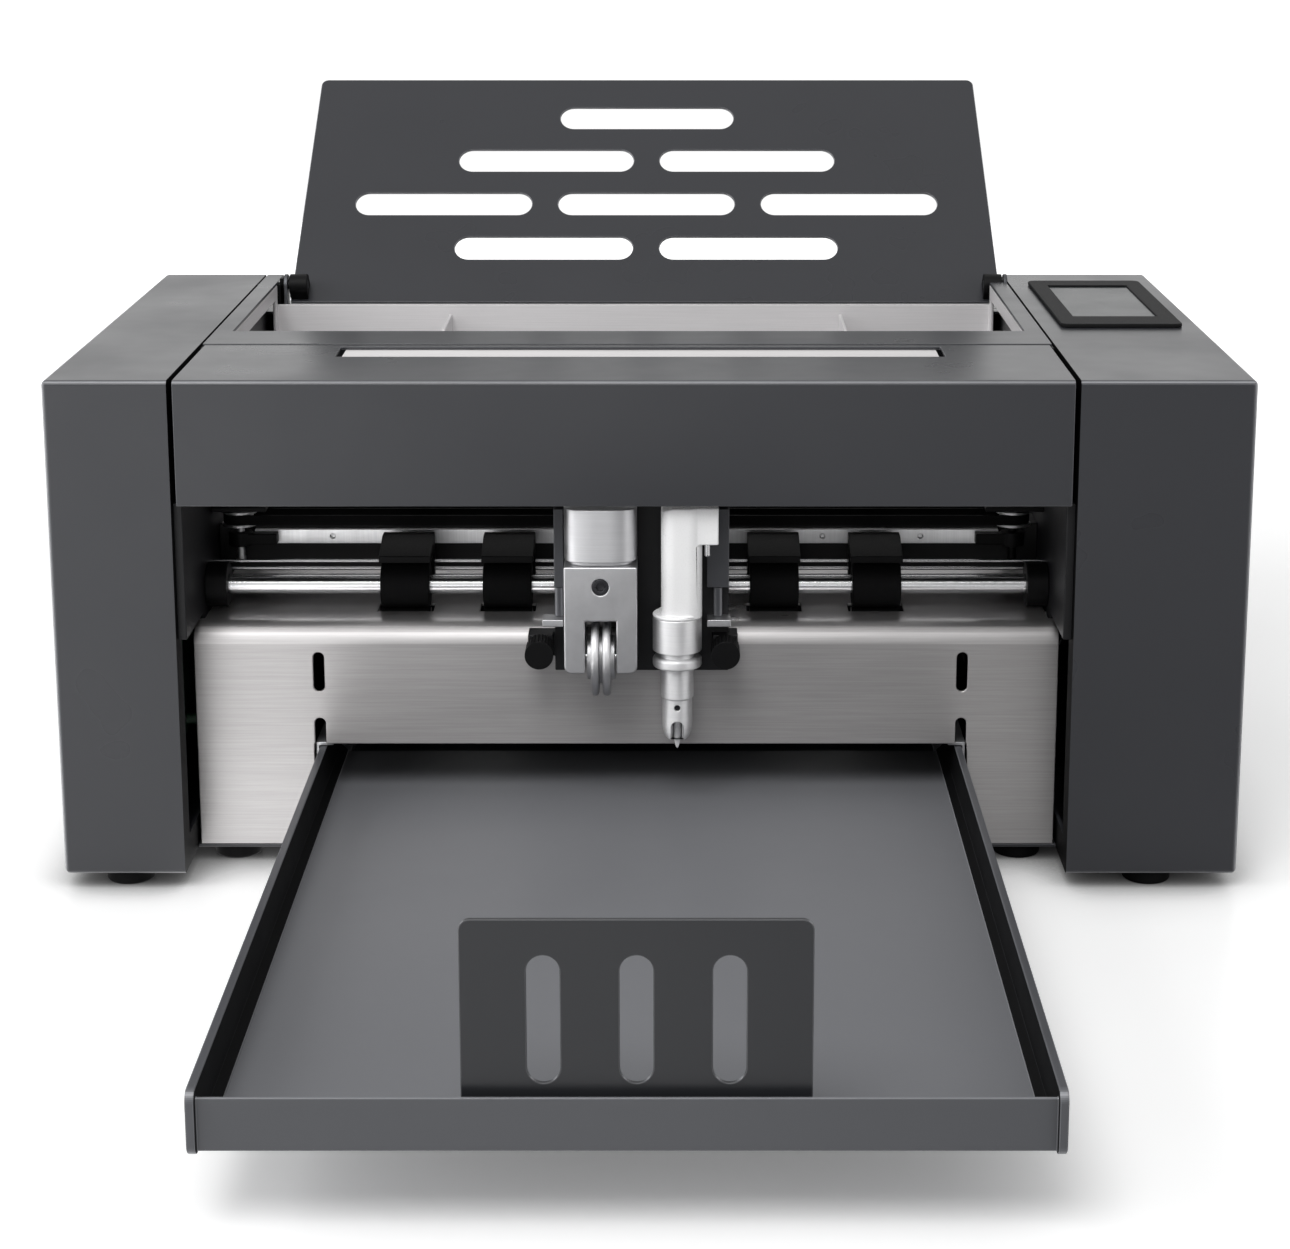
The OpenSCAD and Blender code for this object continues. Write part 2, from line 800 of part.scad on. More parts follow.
module front_hood() placed() color(charcoal) {
    past = 1;
    difference() {
        along_x(hood_x0, hood_x1) difference() {
            bent_corner(0, hood_d, hood_bottom, cover_top, hood_r);
            bent_corner(sheet, hood_d + past, hood_bottom + sheet, cover_under, max(hood_r - sheet, 0.5));
            translate([hood_lip, hood_bottom - past]) square([hood_d, hood_h / 2]);
        }
        translate([path_x, strip_y, cover_under - past]) linear_extrude(sheet + 2 * past)
            square([strip_l, strip_w], center = true);
    }
    for (x = [hood_x0, hood_x1 - sheet])
        along_x(x, x + sheet) bent_corner(0, hood_d, hood_bottom, cover_top, hood_r);
}

module hood_inlay_strip() placed() color(brushed)
    translate([path_x, strip_y, cover_under - strip_t]) linear_extrude(strip_t)
        square([strip_l + 2 * strip_lap, strip_w + 2 * strip_lap], center = true);

// Section of the apron from its foot over the bend to the back of the platen
module apron_section() {
    past = 1;
    inner_r = max(bend_r - sheet, 0.5);
    difference() {
        bent_corner(apron_y, platen_back, pan_top, platen_top, bend_r);
        bent_corner(apron_y + sheet, platen_back + past, pan_top - past, platen_top - sheet, inner_r);
    }
}

// The front and the bend lap over the side frames, and the platen lies between them
module front_apron() placed() color(brushed) {
    past = 1;
    difference() {
        union() {
            along_x(platen_x0, platen_x1) apron_section();
            along_x(apron_x0, apron_x1) difference() {
                apron_section();
                translate([apron_y + bend_r, pan_top - past]) square([platen_d, platen_top]);
            }
        }
        // Opening for the out tray and the hook slots above it
        along_y(apron_y - past, apron_y + sheet + past) {
            translate([path_x - opening_half, out_bottom - opening_gap])
                square([2 * opening_half, out_side_h + 2 * opening_gap]);
            for (side = [-1, 1], step = [0, 1])
                translate([path_x + side * hook_x, hook_top - step * hook_step - hook_h / 2])
                    rotate(90) obround(hook_h, hook_w);
        }
        // Windows where the grit rollers reach the sheet
        for (x = roller_places)
            box(x - roller_w / 2 - window_gap, x + roller_w / 2 + window_gap,
                feed_y - grit_d / 2 - window_gap, feed_y + grit_d / 2 + window_gap,
                platen_top - sheet - past, platen_top + past);
    }
}

module rear_panel() placed() color(charcoal) {
    past = 1;
    vent_l = 60;
    vent_w = 5;
    vent_pitch = 12;
    vent_rows = 6;
    vent_z = 150;
    vent_out = 120;
    difference() {
        box(x_left, x_right, cover_d - sheet, cover_d, foot_h, shelf_top);
        along_y(cover_d - sheet - past, cover_d + past)
            for (side = [-1, 1], i = [0:vent_rows - 1])
                translate([path_x + side * vent_out, vent_z + i * vent_pitch]) obround(vent_l, vent_w);
    }
    box(x_left, x_right, wall_y + sheet, cover_d - sheet, shelf_top - sheet, shelf_top);
}

module trough_rim() placed() color(charcoal) {
    box(rim_x0, rim_x1, rim_y0, rim_y1, cover_under, cover_top);
    box(rim_in_left, rim_in_right, rim_y1 - sheet, rim_y1, cover_under - rim_flange_h, cover_under);
    box(rim_x0, rim_in_left, rim_y1, cover_d - sheet, cover_under, cover_top);
    box(rim_in_right, rim_x1, rim_y1, wall_y, cover_under, cover_top);
}

// Bent sheet from the platen up the slope to the trough back wall, with an end plate on each side
module feed_chute() placed() color(brushed) {
    foot_bend = sheet * tan(tray_tilt / 2);
    wall_bend = sheet * tan((90 - tray_tilt) / 2);
    past = 1;
    bent_sheet = [
        [platen_back + slide_gap, platen_top],
        [chute_y, platen_top],
        [wall_y, wall_bottom],
        [wall_y, wall_top],
        [wall_y + sheet, wall_top],
        [wall_y + sheet, wall_bottom - wall_bend],
        [chute_y + foot_bend, platen_top - sheet],
        [platen_back + slide_gap, platen_top - sheet]
    ];
    end_plate = [
        [rim_y1, cover_under],
        [wall_y, cover_under],
        [wall_y, wall_bottom],
        [chute_y + end_plate_foot, platen_top + end_plate_foot * tan(tray_tilt)],
        [rim_y1, cover_under - rim_flange_h]
    ];
    web = end_plate_web;
    web_up = web / cos(tray_tilt);
    foot_in = end_plate_foot + 2 * web;
    end_opening = [
        [rim_y1 + web, cover_under - web],
        [wall_y - web, cover_under - web],
        [wall_y - web, wall_bottom - web * tan(tray_tilt) + web_up],
        [chute_y + foot_in, platen_top + foot_in * tan(tray_tilt) + web_up],
        [rim_y1 + web, cover_under - rim_flange_h]
    ];
    slot_l = guide_t + 2 * (guide_travel + sheet);
    slot_w = guide_foot_w + 2 * slide_gap;
    difference() {
        along_x(rim_in_left - sheet, rim_in_right + sheet) polygon(bent_sheet);
        on_chute() for (side = [-1, 1])
            translate([path_x + side * guide_out, guide_rod_up, -sheet - past])
                linear_extrude(sheet + 2 * past) square([slot_l, slot_w], center = true);
    }
    for (x = [rim_in_left - sheet, rim_in_right]) difference() {
        along_x(x, x + sheet) polygon(end_plate);
        along_x(x - past, x + sheet + past) polygon(end_opening);
    }
}

module hinge_brackets() placed() color(silver) {
    pin_out = 2;
    half = tray_half + ear_gap;
    for (side = [-1, 1]) translate([path_x, 0, 0]) mirror([side < 0 ? 1 : 0, 0, 0]) {
        along_x(half, half + ear_t) {
            translate([tray_pivot_y, tray_pivot_z]) circle(ear_r);
            translate([tray_pivot_y - ear_r, shelf_top]) square([2 * ear_r, tray_pivot_z - shelf_top]);
        }
        x_rod(tray_half - knuckle_w, half + ear_t, tray_pivot_y, tray_pivot_z, tray_pin_d);
    }
}

module foot() rotate_extrude() polygon([
    [0, 0],
    [foot_d / 2 - foot_chamfer, 0],
    [foot_d / 2, foot_chamfer],
    [foot_d / 2, foot_h],
    [0, foot_h]
]);

module feet() placed() color(rubber) {
    for (x = [left_cover_x, right_cover_x], y = [foot_in, cover_d - foot_in]) translate([x, y, 0]) foot();
    for (x = [frame_left + base_foot_in, frame_right - base_foot_in])
        translate([x, apron_y + base_foot_in, 0]) foot();
}

module screen_bezel() placed() color(black)
    translate([right_cover_x, bezel_y, cover_top]) linear_extrude(bezel_h) difference() {
        rounded_rect(bezel_w, bezel_d, bezel_r);
        translate([0, glass_shift]) square([glass_w, glass_d], center = true);
    }

module screen_glass() placed() color("#84898b")
    translate([right_cover_x, bezel_y + glass_shift, cover_top]) linear_extrude(glass_h)
        square([glass_w, glass_d], center = true);

module carriage_beam() placed() color(black)
    box(frame_left, frame_right, beam_y, beam_y + beam_d, beam_top - beam_h, beam_top);

module guide_rail() placed() color(chrome) {
    past = 1;
    hole_count = floor((rail_x1 - rail_x0) / rail_hole_pitch);
    hole_x0 = (rail_x0 + rail_x1 - (hole_count - 1) * rail_hole_pitch) / 2;
    difference() {
        box(rail_x0, rail_x1, rail_y, beam_y, rail_z, rail_top);
        for (i = [0:hole_count - 1])
            y_rod(hole_x0 + i * rail_hole_pitch, rail_y - past, rail_y + rail_t / 2, rail_z + rail_h / 2,
                  rail_hole_d);
    }
}

module guide_rods() placed() color(chrome) {
    for (z = rod_heights) x_rod(frame_left, frame_right, rod_y, z, rod_d);
    on_chute() x_rod(frame_left, frame_right, guide_rod_up, -guide_rod_down, guide_rod_d);
}

module roller_clips() placed() color(black) {
    leg_bottom = rod_z - rod_step - clip_leg_t / 2;
    leg_front = rod_y - clip_leg_t / 2;
    leg_back = rod_y + clip_leg_t / 2;
    profile = [
        [feed_y - clip_reach, clip_bottom],
        [feed_y - clip_reach, clip_bottom + clip_lip],
        [leg_front, clip_bottom + clip_h],
        [leg_back, clip_bottom + clip_h],
        [leg_back, leg_bottom],
        [leg_front, leg_bottom],
        [leg_front, clip_bottom]
    ];
    for (x = roller_places) difference() {
        along_x(x - clip_w / 2, x + clip_w / 2) polygon(profile);
        for (z = rod_heights) x_rod(x - clip_w, x + clip_w, rod_y, z, rod_d);
    }
}

module feed_bearings() placed() color(black) {
    past = 1;
    for (x = [frame_left, frame_right - bearing_w]) difference() {
        x_rod(x, x + bearing_w, feed_y, feed_z, bearing_d);
        x_rod(x - past, x + bearing_w + past, feed_y, feed_z, feed_d + 2 * run_gap);
        // Flat that keeps the bearing off the platen
        box(x - past, x + bearing_w + past, feed_y - bearing_d, feed_y + bearing_d,
            feed_z - bearing_d, platen_top + 2 * nip_gap);
    }
}

module belt_brackets() placed() color(black) {
    past = 1;
    reach = 18;
    shelf_y0 = pulley_y - reach;
    shelf_y1 = pulley_y + reach;
    difference() {
        box(frame_left, drive_x + reach, shelf_y0, shelf_y1, bracket_z, bracket_z + bracket_t);
        z_rod(drive_x, pulley_y, bracket_z - past, bracket_z + bracket_t + past, pulley_pin_d + sheet);
    }
    box(idler_x - reach, frame_right, shelf_y0, shelf_y1, bracket_z, bracket_z + bracket_t);
    z_rod(idler_x, pulley_y, pin_bottom, bracket_z, pulley_pin_d);
    translate([idler_x, pulley_y, pin_bottom]) sphere(pin_ball_r);
    pin_housing(drive_x, 1, pulley_pin_d + 2 * run_gap);
    pin_housing(idler_x, -1, pulley_pin_d);
}

// Round housing of a pulley pin with a clamp lug towards the rail, on the front of the beam
module pin_housing(x, side, bore) {
    past = 1;
    lug_l = rail_end + housing_d;
    lug_t = 8;
    lug_in = 1;
    difference() {
        union() {
            z_rod(x, pulley_y, rail_z, rail_top, housing_d);
            box(x - housing_d / 4, x + housing_d / 4, pulley_y, beam_y, rail_z, rail_top);
            translate([x, rail_y - lug_t, rail_z + lug_in]) mirror([side < 0 ? 1 : 0, 0, 0])
                cube([lug_l, lug_t, rail_h - 2 * lug_in]);
        }
        z_rod(x, pulley_y, rail_z - past, rail_top + past, bore);
    }
}

module carriage_motor() placed() color(grey) {
    bore_l = 24;
    base_z = bracket_z + bracket_t;
    difference() {
        z_rod(drive_x, pulley_y, base_z, base_z + carriage_motor_l, carriage_motor_d);
        z_rod(drive_x, pulley_y, base_z - sheet, base_z + bore_l, pulley_pin_d + 2 * run_gap);
    }
}

// Closed flat belt round two equal pulleys that lie along the first axis
module belt_loop(distance, r) {
    difference() {
        obround(distance + 2 * (r + belt_t), 2 * (r + belt_t));
        obround(distance + 2 * r, 2 * r);
    }
}

module carriage_belt() placed() color(rubber)
    translate([(drive_x + idler_x) / 2, pulley_y, belt_z]) linear_extrude(belt_w)
        belt_loop(idler_x - drive_x, pulley_r + belt_gap);

module pulley_disc() {
    low = belt_z - flange_t - belt_gap;
    high = belt_top + belt_gap;
    translate([0, 0, low]) cylinder(r = flange_r, h = flange_t);
    translate([0, 0, low]) cylinder(r = pulley_r, h = high - low + flange_t);
    translate([0, 0, high]) cylinder(r = flange_r, h = flange_t);
}

module drive_pulley() placed() color(silver) translate([drive_x, pulley_y, 0]) {
    spindle_over = 20;
    spindle_top = bracket_z + bracket_t + spindle_over;
    pulley_disc();
    cylinder_h = spindle_top - pin_bottom;
    translate([0, 0, pin_bottom]) cylinder(d = pulley_pin_d, h = cylinder_h);
    translate([0, 0, pin_bottom]) sphere(pin_ball_r);
}

module idler_pulley() placed() color(silver) translate([idler_x, pulley_y, 0]) difference() {
    pulley_disc();
    translate([0, 0, pin_bottom]) cylinder(d = pulley_pin_d + 2 * run_gap, h = bracket_z - pin_bottom);
}

module feed_motor() placed() color(black) difference() {
    half = feed_motor_s / 2;
    bore_l = 24;
    chamfer = 4;
    along_x(frame_right - feed_motor_l, frame_right) translate([feed_motor_y, feed_motor_z])
        rounded_rect(feed_motor_s, feed_motor_s, chamfer);
    x_rod(frame_right - bore_l, frame_right + sheet, feed_motor_y, feed_motor_z, pulley_pin_d + 2 * run_gap);
}

// Feed belt plane, just outside the right frame
feed_belt_x = x_right + 9;
feed_distance = norm([feed_motor_y - feed_y, feed_motor_z - feed_z]);
feed_angle = atan2(feed_motor_z - feed_z, feed_motor_y - feed_y);

module feed_belt() placed() color(rubber) along_x(feed_belt_x, feed_belt_x + feed_belt_w)
    translate([(feed_y + feed_motor_y) / 2, (feed_z + feed_motor_z) / 2]) rotate(feed_angle)
        belt_loop(feed_distance, feed_pulley_r + belt_gap);

module feed_pulley_form(y, z, bore) {
    x0 = feed_belt_x - belt_gap - flange_t;
    x1 = feed_belt_x + feed_belt_w + belt_gap + flange_t;
    rim_d = 2 * (feed_pulley_r + belt_t + seam);
    difference() {
        union() {
            x_rod(x0, x1, y, z, 2 * feed_pulley_r);
            for (x = [x0, x1 - flange_t]) x_rod(x, x + flange_t, y, z, rim_d);
        }
        x_rod(x0 - sheet, x1 + sheet, y, z, bore);
    }
}

module feed_pulley() placed() color(silver) feed_pulley_form(feed_y, feed_z, feed_d);

module motor_pulley() placed() color(silver) {
    spindle_in = 20;
    spindle_x1 = feed_belt_x + feed_belt_w + 3;
    feed_pulley_form(feed_motor_y, feed_motor_z, pulley_pin_d);
    x_rod(frame_right - spindle_in, spindle_x1, feed_motor_y, feed_motor_z, pulley_pin_d);
}

module main_board() placed() color("#1f5a38") {
    board_t = 1.6;
    margin = 8;
    board_y = 60;
    board_z = 70;
    x1 = x_left - standoff_l;
    chip_h = 3;
    chip_w = 20;
    chip_pitch = 38;
    chip_in = 22;
    chip_z = 50;
    socket_d = 9;
    socket_l = 12;
    socket_in = 22;
    socket_pitch = 30;
    box(x1 - board_t, x1, board_y, board_y + board_l, board_z, board_z + board_h);
    for (y = [margin, board_l - margin], z = [margin, board_h - margin])
        x_rod(x1, x_left, board_y + y, board_z + z, 6);
    for (i = [0:2])
        translate([x1 - board_t - chip_h, board_y + chip_in + i * chip_pitch, board_z + chip_z])
            cube([chip_h, chip_w, chip_w]);
    for (i = [0:3])
        translate([x1 - board_t - socket_d, board_y + socket_in + i * socket_pitch,
                   board_z + board_h - margin - socket_in])
            cube([socket_d, socket_l, socket_in]);
}

module power_supply() placed() color(silver) {
    supply_in = 42;
    supply_y = cover_d - supply_l - supply_in;
    supply_z = 130;
    box(x_right, x_right + supply_w, supply_y, supply_y + supply_l, supply_z, supply_z + supply_h);
}

// Moulded panel with the mains inlet, the rocker switch opening and a data socket
module rear_socket_panel() placed() color(black) {
    past = 1;
    body_d = 24;
    body_in = 5.5;
    panel_r = 4;
    inlet_drop = 20;
    inlet_w = 25;
    inlet_h = 17;
    inlet_r = 3;
    inlet_d = 16;
    data_rise = 4;
    data_w = 12.5;
    data_h = 11;
    data_d = 12;
    blade_w = 2;
    blade_h = 5;
    blade_drop = 3;
    floor_t = 6;
    inlet_z = socket_z - inlet_drop;
    data_z = socket_z + data_rise;
    body_w = socket_w - 2 * body_in;
    body_h = socket_h - 2 * body_in;
    x = right_cover_x;
    back = cover_d + panel_t;
    rocker_half = rocker_h / 2 + rocker_gap;
    blade_pitch = 7;
    difference() {
        union() {
            along_y(cover_d, back) translate([x, socket_z]) rounded_rect(socket_w, socket_h, panel_r);
            box(x - body_w / 2, x + body_w / 2, cover_d - body_d, cover_d, socket_z - body_h / 2,
                socket_z + body_h / 2);
        }
        // Mains inlet recess
        along_y(back - inlet_d, back + past) translate([x, inlet_z]) rounded_rect(inlet_w, inlet_h, inlet_r);
        // Data socket recess
        along_y(back - data_d, back + past) translate([x, data_z]) square([data_w, data_h], center = true);
        // Rocker opening
        box(x - rocker_w / 2 - slide_gap, x + rocker_w / 2 + slide_gap, back - body_d + floor_t, back + past,
            rocker_z - rocker_half, rocker_z + rocker_half);
    }
    // Three blades of the mains inlet, the middle one higher
    for (i = [-1:1])
        translate([x + i * blade_pitch - blade_w / 2, back - inlet_d, inlet_z - blade_drop * abs(i)])
            cube([blade_w, inlet_d - blade_w, blade_h]);
    x_rod(x - rocker_w / 2 - sheet, x + rocker_w / 2 + sheet, cover_d, rocker_z, rocker_pin_d);
}

module power_rocker() placed() color(rubber)
    translate([right_cover_x, cover_d, rocker_z]) rotate([rocker_tilt, 0, 0]) {
        rise = rocker_h / 2 * tan(rocker_tilt);
        face = [
            [-rocker_d, -rocker_h / 3],
            [panel_t + rise, -rocker_h / 2],
            [panel_t, 0],
            [panel_t + rise, rocker_h / 2],
            [-rocker_d, rocker_h / 3]
        ];
        difference() {
            along_x(-rocker_w / 2, rocker_w / 2) polygon(face);
            x_rod(-rocker_w, rocker_w, 0, 0, rocker_pin_d + 2 * run_gap);
        }
    }

// Channel behind the apron that holds one side plate of the out tray from below and above
module runner_form() {
    ledge_x0 = out_w / 2 + slide_gap - runner_ledge;
    web_x0 = out_w / 2 + slide_gap;
    along_y(runner_y0, runner_y1) {
        translate([web_x0, pan_top]) square([sheet, out_top + slide_gap + sheet - pan_top]);
        translate([ledge_x0, out_bottom - slide_gap - sheet]) square([runner_ledge, sheet]);
        translate([ledge_x0, out_top + slide_gap]) square([runner_ledge, sheet]);
    }
}

module tray_runners() placed() color(grey) translate([path_x, 0, 0]) {
    runner_form();
    mirror([1, 0, 0]) runner_form();
}

module cover_screws() placed() color(silver) {
    head_d = 7;
    head_h = 2;
    key_d = 3.4;
    margin = 20;
    for (x = [left_cover_x, right_cover_x, x_left + margin, x_right - margin],
         z = [foot_h + margin, shelf_top - margin])
        difference() {
            y_rod(x, cover_d, cover_d + head_h, z, head_d);
            translate([x, cover_d + head_h / 2, z]) rotate([-90, 0, 0])
                cylinder(d = key_d, h = head_h, $fn = 6);
        }
}

// Front plate with tool guides and knob lugs, bridge over the feed rollers, and shoe round the rail
module carriage_body() placed() color(black) {
    past = 1;
    notch_half = wheel_slot_w / 2 + 1.3;
    clamp_y = pulley_y - pulley_r - belt_gap + slide_gap;
    clamp_half = 8;
    shoe_half = bridge_w / 2;
    jaw_y = beam_y - slide_gap;
    difference() {
        union() {
            box(plate_left, plate_right, plate_y, plate_back, plate_bottom, plate_top);
            for (x = [knob_left_x, knob_right_x])
                box(x - lug_w / 2, x + lug_w / 2, lug_y, plate_back, knob_z - lug_w / 2, knob_z + lug_w / 2);
            box(knob_left_x, plate_left + sheet, plate_y, plate_back, knob_z - lug_w / 2, knob_z + lug_w / 2);
            for (x = [crease_x, blade_x])
                box(x - tool_guide_w / 2, x + tool_guide_w / 2, plate_y - tool_guide_t, plate_y, tool_guide_z,
                    tool_guide_z + tool_guide_h);
        }
        box(crease_x - notch_half, crease_x + notch_half, lug_y, plate_back + past, plate_bottom - past,
            slot_top + 2);
        for (x = [knob_left_x, knob_right_x])
            y_rod(x, lug_y - past, plate_back + past, knob_z, knob_screw_d + 2 * run_gap);
    }
    shoe_x0 = carriage_x - shoe_half;
    shoe_x1 = carriage_x + shoe_half;
    shoe_back = rail_y - slide_gap;
    shoe_bottom = rail_z - slide_gap - shoe_wall;
    box(shoe_x0, shoe_x1, plate_back, shoe_back, bridge_bottom, plate_top);
    box(shoe_x0, shoe_x1, shoe_y, shoe_back, shoe_bottom, bridge_bottom);
    for (z = [shoe_bottom, rail_top + slide_gap])
        box(shoe_x0, shoe_x1, shoe_back, jaw_y, z, z + shoe_wall);
    box(carriage_x - clamp_half, carriage_x + clamp_half, clamp_y, shoe_y, belt_z, belt_top);
}

// Block and rod of a tool lift, between two sideways places
module lift_form(x0, x1) {
    box(x0, x1, plate_y - lift_block_t, plate_y, lift_top - lift_block_h, lift_top);
    z_rod((x0 + x1) / 2, lift_y, lift_bottom, lift_top - lift_block_h, lift_d);
}

lift_left_x1 = crease_x - crease_w / 2 - 1;
lift_right_x0 = blade_x + sleeve_d / 2 + 3;

module lift_cylinders() placed() color(grey) {
    lift_form(plate_left, lift_left_x1);
    lift_form(lift_right_x0, plate_right);
}

module clamp_brackets() placed() color(silver) {
    reach = 6.5;
    y0 = plate_y - clamp_bracket_d;
    box(plate_left - reach, lift_left_x1, y0, plate_y, lift_bottom - clamp_bracket_t, lift_bottom);
    box(lift_right_x0, plate_right + 1, y0, plate_y, lift_bottom - clamp_bracket_t, lift_bottom);
}

// Knurled thumb knob on its screw
module knob_form(x) {
    rib_count = 24;
    rib_d = 1;
    front = lug_y - slide_gap - knob_l;
    screw_l = plate_back - lug_y - 2;
    translate([x, front, knob_z]) rotate([-90, 0, 0]) {
        difference() {
            cylinder(d = knob_d, h = knob_l);
            for (i = [0:rib_count - 1]) rotate(i * 360 / rib_count) translate([knob_d / 2, 0, rib_d])
                cylinder(d = rib_d, h = knob_l);
        }
        translate([0, 0, knob_l]) cylinder(d = knob_screw_d, h = screw_l);
    }
}

module left_clamp_knob() placed() color(rubber) knob_form(knob_left_x);

module right_clamp_knob() placed() color(rubber) knob_form(knob_right_x);

crease_mid_y = tool_back - crease_d / 2;

module crease_cap() placed() color(silver) translate([crease_x, crease_mid_y, block_top]) {
    linear_extrude(neck_h) rounded_rect(crease_w - 2 * neck_in, crease_d - 2 * neck_in, cap_r);
    translate([0, 0, neck_h]) linear_extrude(cap_h) rounded_rect(crease_w, crease_d, cap_r);
}

module crease_block() placed() color(silver) {
    past = 1;
    half = crease_w / 2;
    guide_half = tool_guide_w / 2 + slide_gap;
    front = tool_back - crease_d;
    difference() {
        along_y(front, tool_back) translate([crease_x, 0]) {
            translate([-half, block_bottom + crease_r]) square([crease_w, crease_h - crease_r]);
            translate([crease_r - half, block_bottom]) square([crease_w - 2 * crease_r, crease_r]);
            for (side = [-1, 1])
                translate([side * (half - crease_r), block_bottom + crease_r]) circle(crease_r);
        }
        box(crease_x - wheel_slot_w / 2, crease_x + wheel_slot_w / 2, front - past, tool_back + past,
            block_bottom - past, slot_top);
        box(crease_x - guide_half, crease_x + guide_half, tool_back - tool_guide_t, tool_back + past,
            slot_top - past, block_top + past);
        x_rod(crease_x - half - past, crease_x + half + past, tool_y, wheel_z, axle_d);
        y_rod(crease_x, front - past, front + screw_h, block_top - screw_drop, screw_d);
    }
}

module crease_screw() placed() color(black) {
    front = tool_back - crease_d;
    key_d = 5;
    key_depth = 3;
    difference() {
        y_rod(crease_x, front, front + screw_h, block_top - screw_drop, screw_d);
        translate([crease_x, front - key_depth, block_top - screw_drop]) rotate([-90, 0, 0])
            cylinder(d = key_d, h = 2 * key_depth, $fn = 6);
    }
}

module crease_axle() placed() color(chrome)
    x_rod(crease_x - crease_w / 2, crease_x + crease_w / 2, tool_y, wheel_z, axle_d);

module crease_wheel() placed() color(silver) translate([crease_x, tool_y, wheel_z]) rotate([0, 90, 0]) {
    edge = 1.2;
    groove_r = wheel_d / 2 - disc_groove;
    bore_r = axle_d / 2 + run_gap;
    half = wheel_w / 2;
    inner = half - disc_w;
    hub_half = wheel_slot_w / 2 - 1;
    upper = [
        [groove_r, inner],
        [wheel_d / 2 - edge, inner],
        [wheel_d / 2, inner + edge],
        [wheel_d / 2, half - edge],
        [wheel_d / 2 - edge, half],
        [hub_d / 2, half],
        [hub_d / 2, hub_half],
        [bore_r, hub_half]
    ];
    lower = [for (i = [len(upper) - 1:-1:0]) [upper[i][0], -upper[i][1]]];
    rotate_extrude() polygon(concat(lower, upper));
}

// White head with its slanted shoulder, its side block and the pin under that block
module blade_head() placed() color(white) {
    past = 1;
    slant_w = 6;
    slant_h = 2.4;
    left = head_x - head_w / 2;
    guide_half = tool_guide_w / 2 + slide_gap;
    mid_y = tool_back - head_d / 2;
    right = head_x + head_w / 2;
    block_x1 = right + side_block_w;
    block_bottom_z = tool_top - side_block_h;
    pin_x = right + side_block_w / 3;
    front = mid_y - side_block_d / 2 - 4;
    difference() {
        translate([head_x, mid_y, head_bottom]) linear_extrude(head_h) rounded_rect(head_w, head_d, head_r);
        box(blade_x - guide_half, blade_x + guide_half, tool_back - tool_guide_t, tool_back + past,
            head_bottom - past, tool_top + past);
        along_y(tool_back - head_d - past, tool_back + past) polygon([
            [left - slant_w, tool_top - 2 * slant_h],
            [left + 2 * slant_w, tool_top + slant_h],
            [left - slant_w, tool_top + slant_h]
        ]);
    }
    z_rod(blade_x, tool_y, head_bottom, head_bottom + head_flange_h, sleeve_d);
    box(head_x + head_w / 4, block_x1, front, front + side_block_d, block_bottom_z, tool_top);
    z_rod(pin_x, front + side_block_d / 2, block_bottom_z - head_pin_l, block_bottom_z, head_pin_d);
}

module blade_sleeve() placed() color(silver) translate([blade_x, tool_y, 0]) {
    edge = 1;
    r = sleeve_d / 2;
    neck_r = sleeve_neck_d / 2;
    rotate_extrude() polygon([
        [0, head_bottom],
        [r, head_bottom],
        [r, groove_top],
        [neck_r, groove_top],
        [neck_r, flange_top],
        [r - edge, flange_top],
        [r, flange_top - edge],
        [r, barrel_top + edge],
        [r - edge, barrel_top],
        [0, barrel_top]
    ]);
}

// Barrel and rounded nose, bored for the blade and open at the front in an arched window
module blade_barrel() placed() color(silver) translate([blade_x, tool_y, 0]) {
    past = 1;
    line = 0.8;
    nose_r = barrel_d / 2 - line;
    tip_r = nose_tip_d / 2;
    taper_h = nose_h * 0.4;
    screw_hole_d = 3.4;
    screw_hole_depth = 3;
    screw_hole_z = nose_top - 5;
    bore_d = blade_d + 2 * run_gap;
    bore_top = blade_bottom + blade_l + slide_gap;
    difference() {
        rotate_extrude() polygon(concat(
            [[0, barrel_top], [barrel_d / 2, barrel_top], [barrel_d / 2, nose_top], [nose_r, nose_top - line]],
            [for (a = [0:15:90])
                [tip_r + (nose_r - tip_r) * cos(a), nose_bottom + taper_h * (1 - sin(a))]],
            [[0, nose_bottom]]
        ));
        y_rod(0, -barrel_d, screw_hole_depth - nose_r, screw_hole_z, screw_hole_d);
        translate([0, 0, nose_bottom - past]) cylinder(d = bore_d, h = bore_top - nose_bottom + past);
        along_y(-barrel_d, 0) {
            translate([-nose_window_w / 2, nose_bottom - past])
                square([nose_window_w, nose_window_h - nose_window_w / 2 + past]);
            translate([0, nose_bottom + nose_window_h - nose_window_w / 2]) circle(d = nose_window_w);
        }
    }
}

// Round shank ground to a wedge that ends in a point off its axis
module blade() placed() color(chrome) translate([blade_x, tool_y, 0]) {
    r = blade_d / 2;
    tip_half = 0.25;
    shoulder = blade_bottom + blade_point;
    intersection() {
        translate([0, 0, blade_bottom]) cylinder(d = blade_d, h = blade_l);
        along_y(-r, r) polygon([
            [-r, shoulder],
            [-tip_half, blade_bottom],
            [tip_half, blade_bottom],
            [r, shoulder],
            [r, blade_bottom + blade_l],
            [-r, blade_bottom + blade_l]
        ]);
    }
}

module feed_shaft() placed() color(chrome)
    x_rod(x_left, feed_belt_x + feed_belt_w + 3, feed_y, feed_z, feed_d);

module feed_rollers() placed() color(rubber) for (x = roller_places) difference() {
    x_rod(x - roller_w / 2, x + roller_w / 2, feed_y, feed_z, roller_d);
    x_rod(x - roller_w, x + roller_w, feed_y, feed_z, feed_d);
}

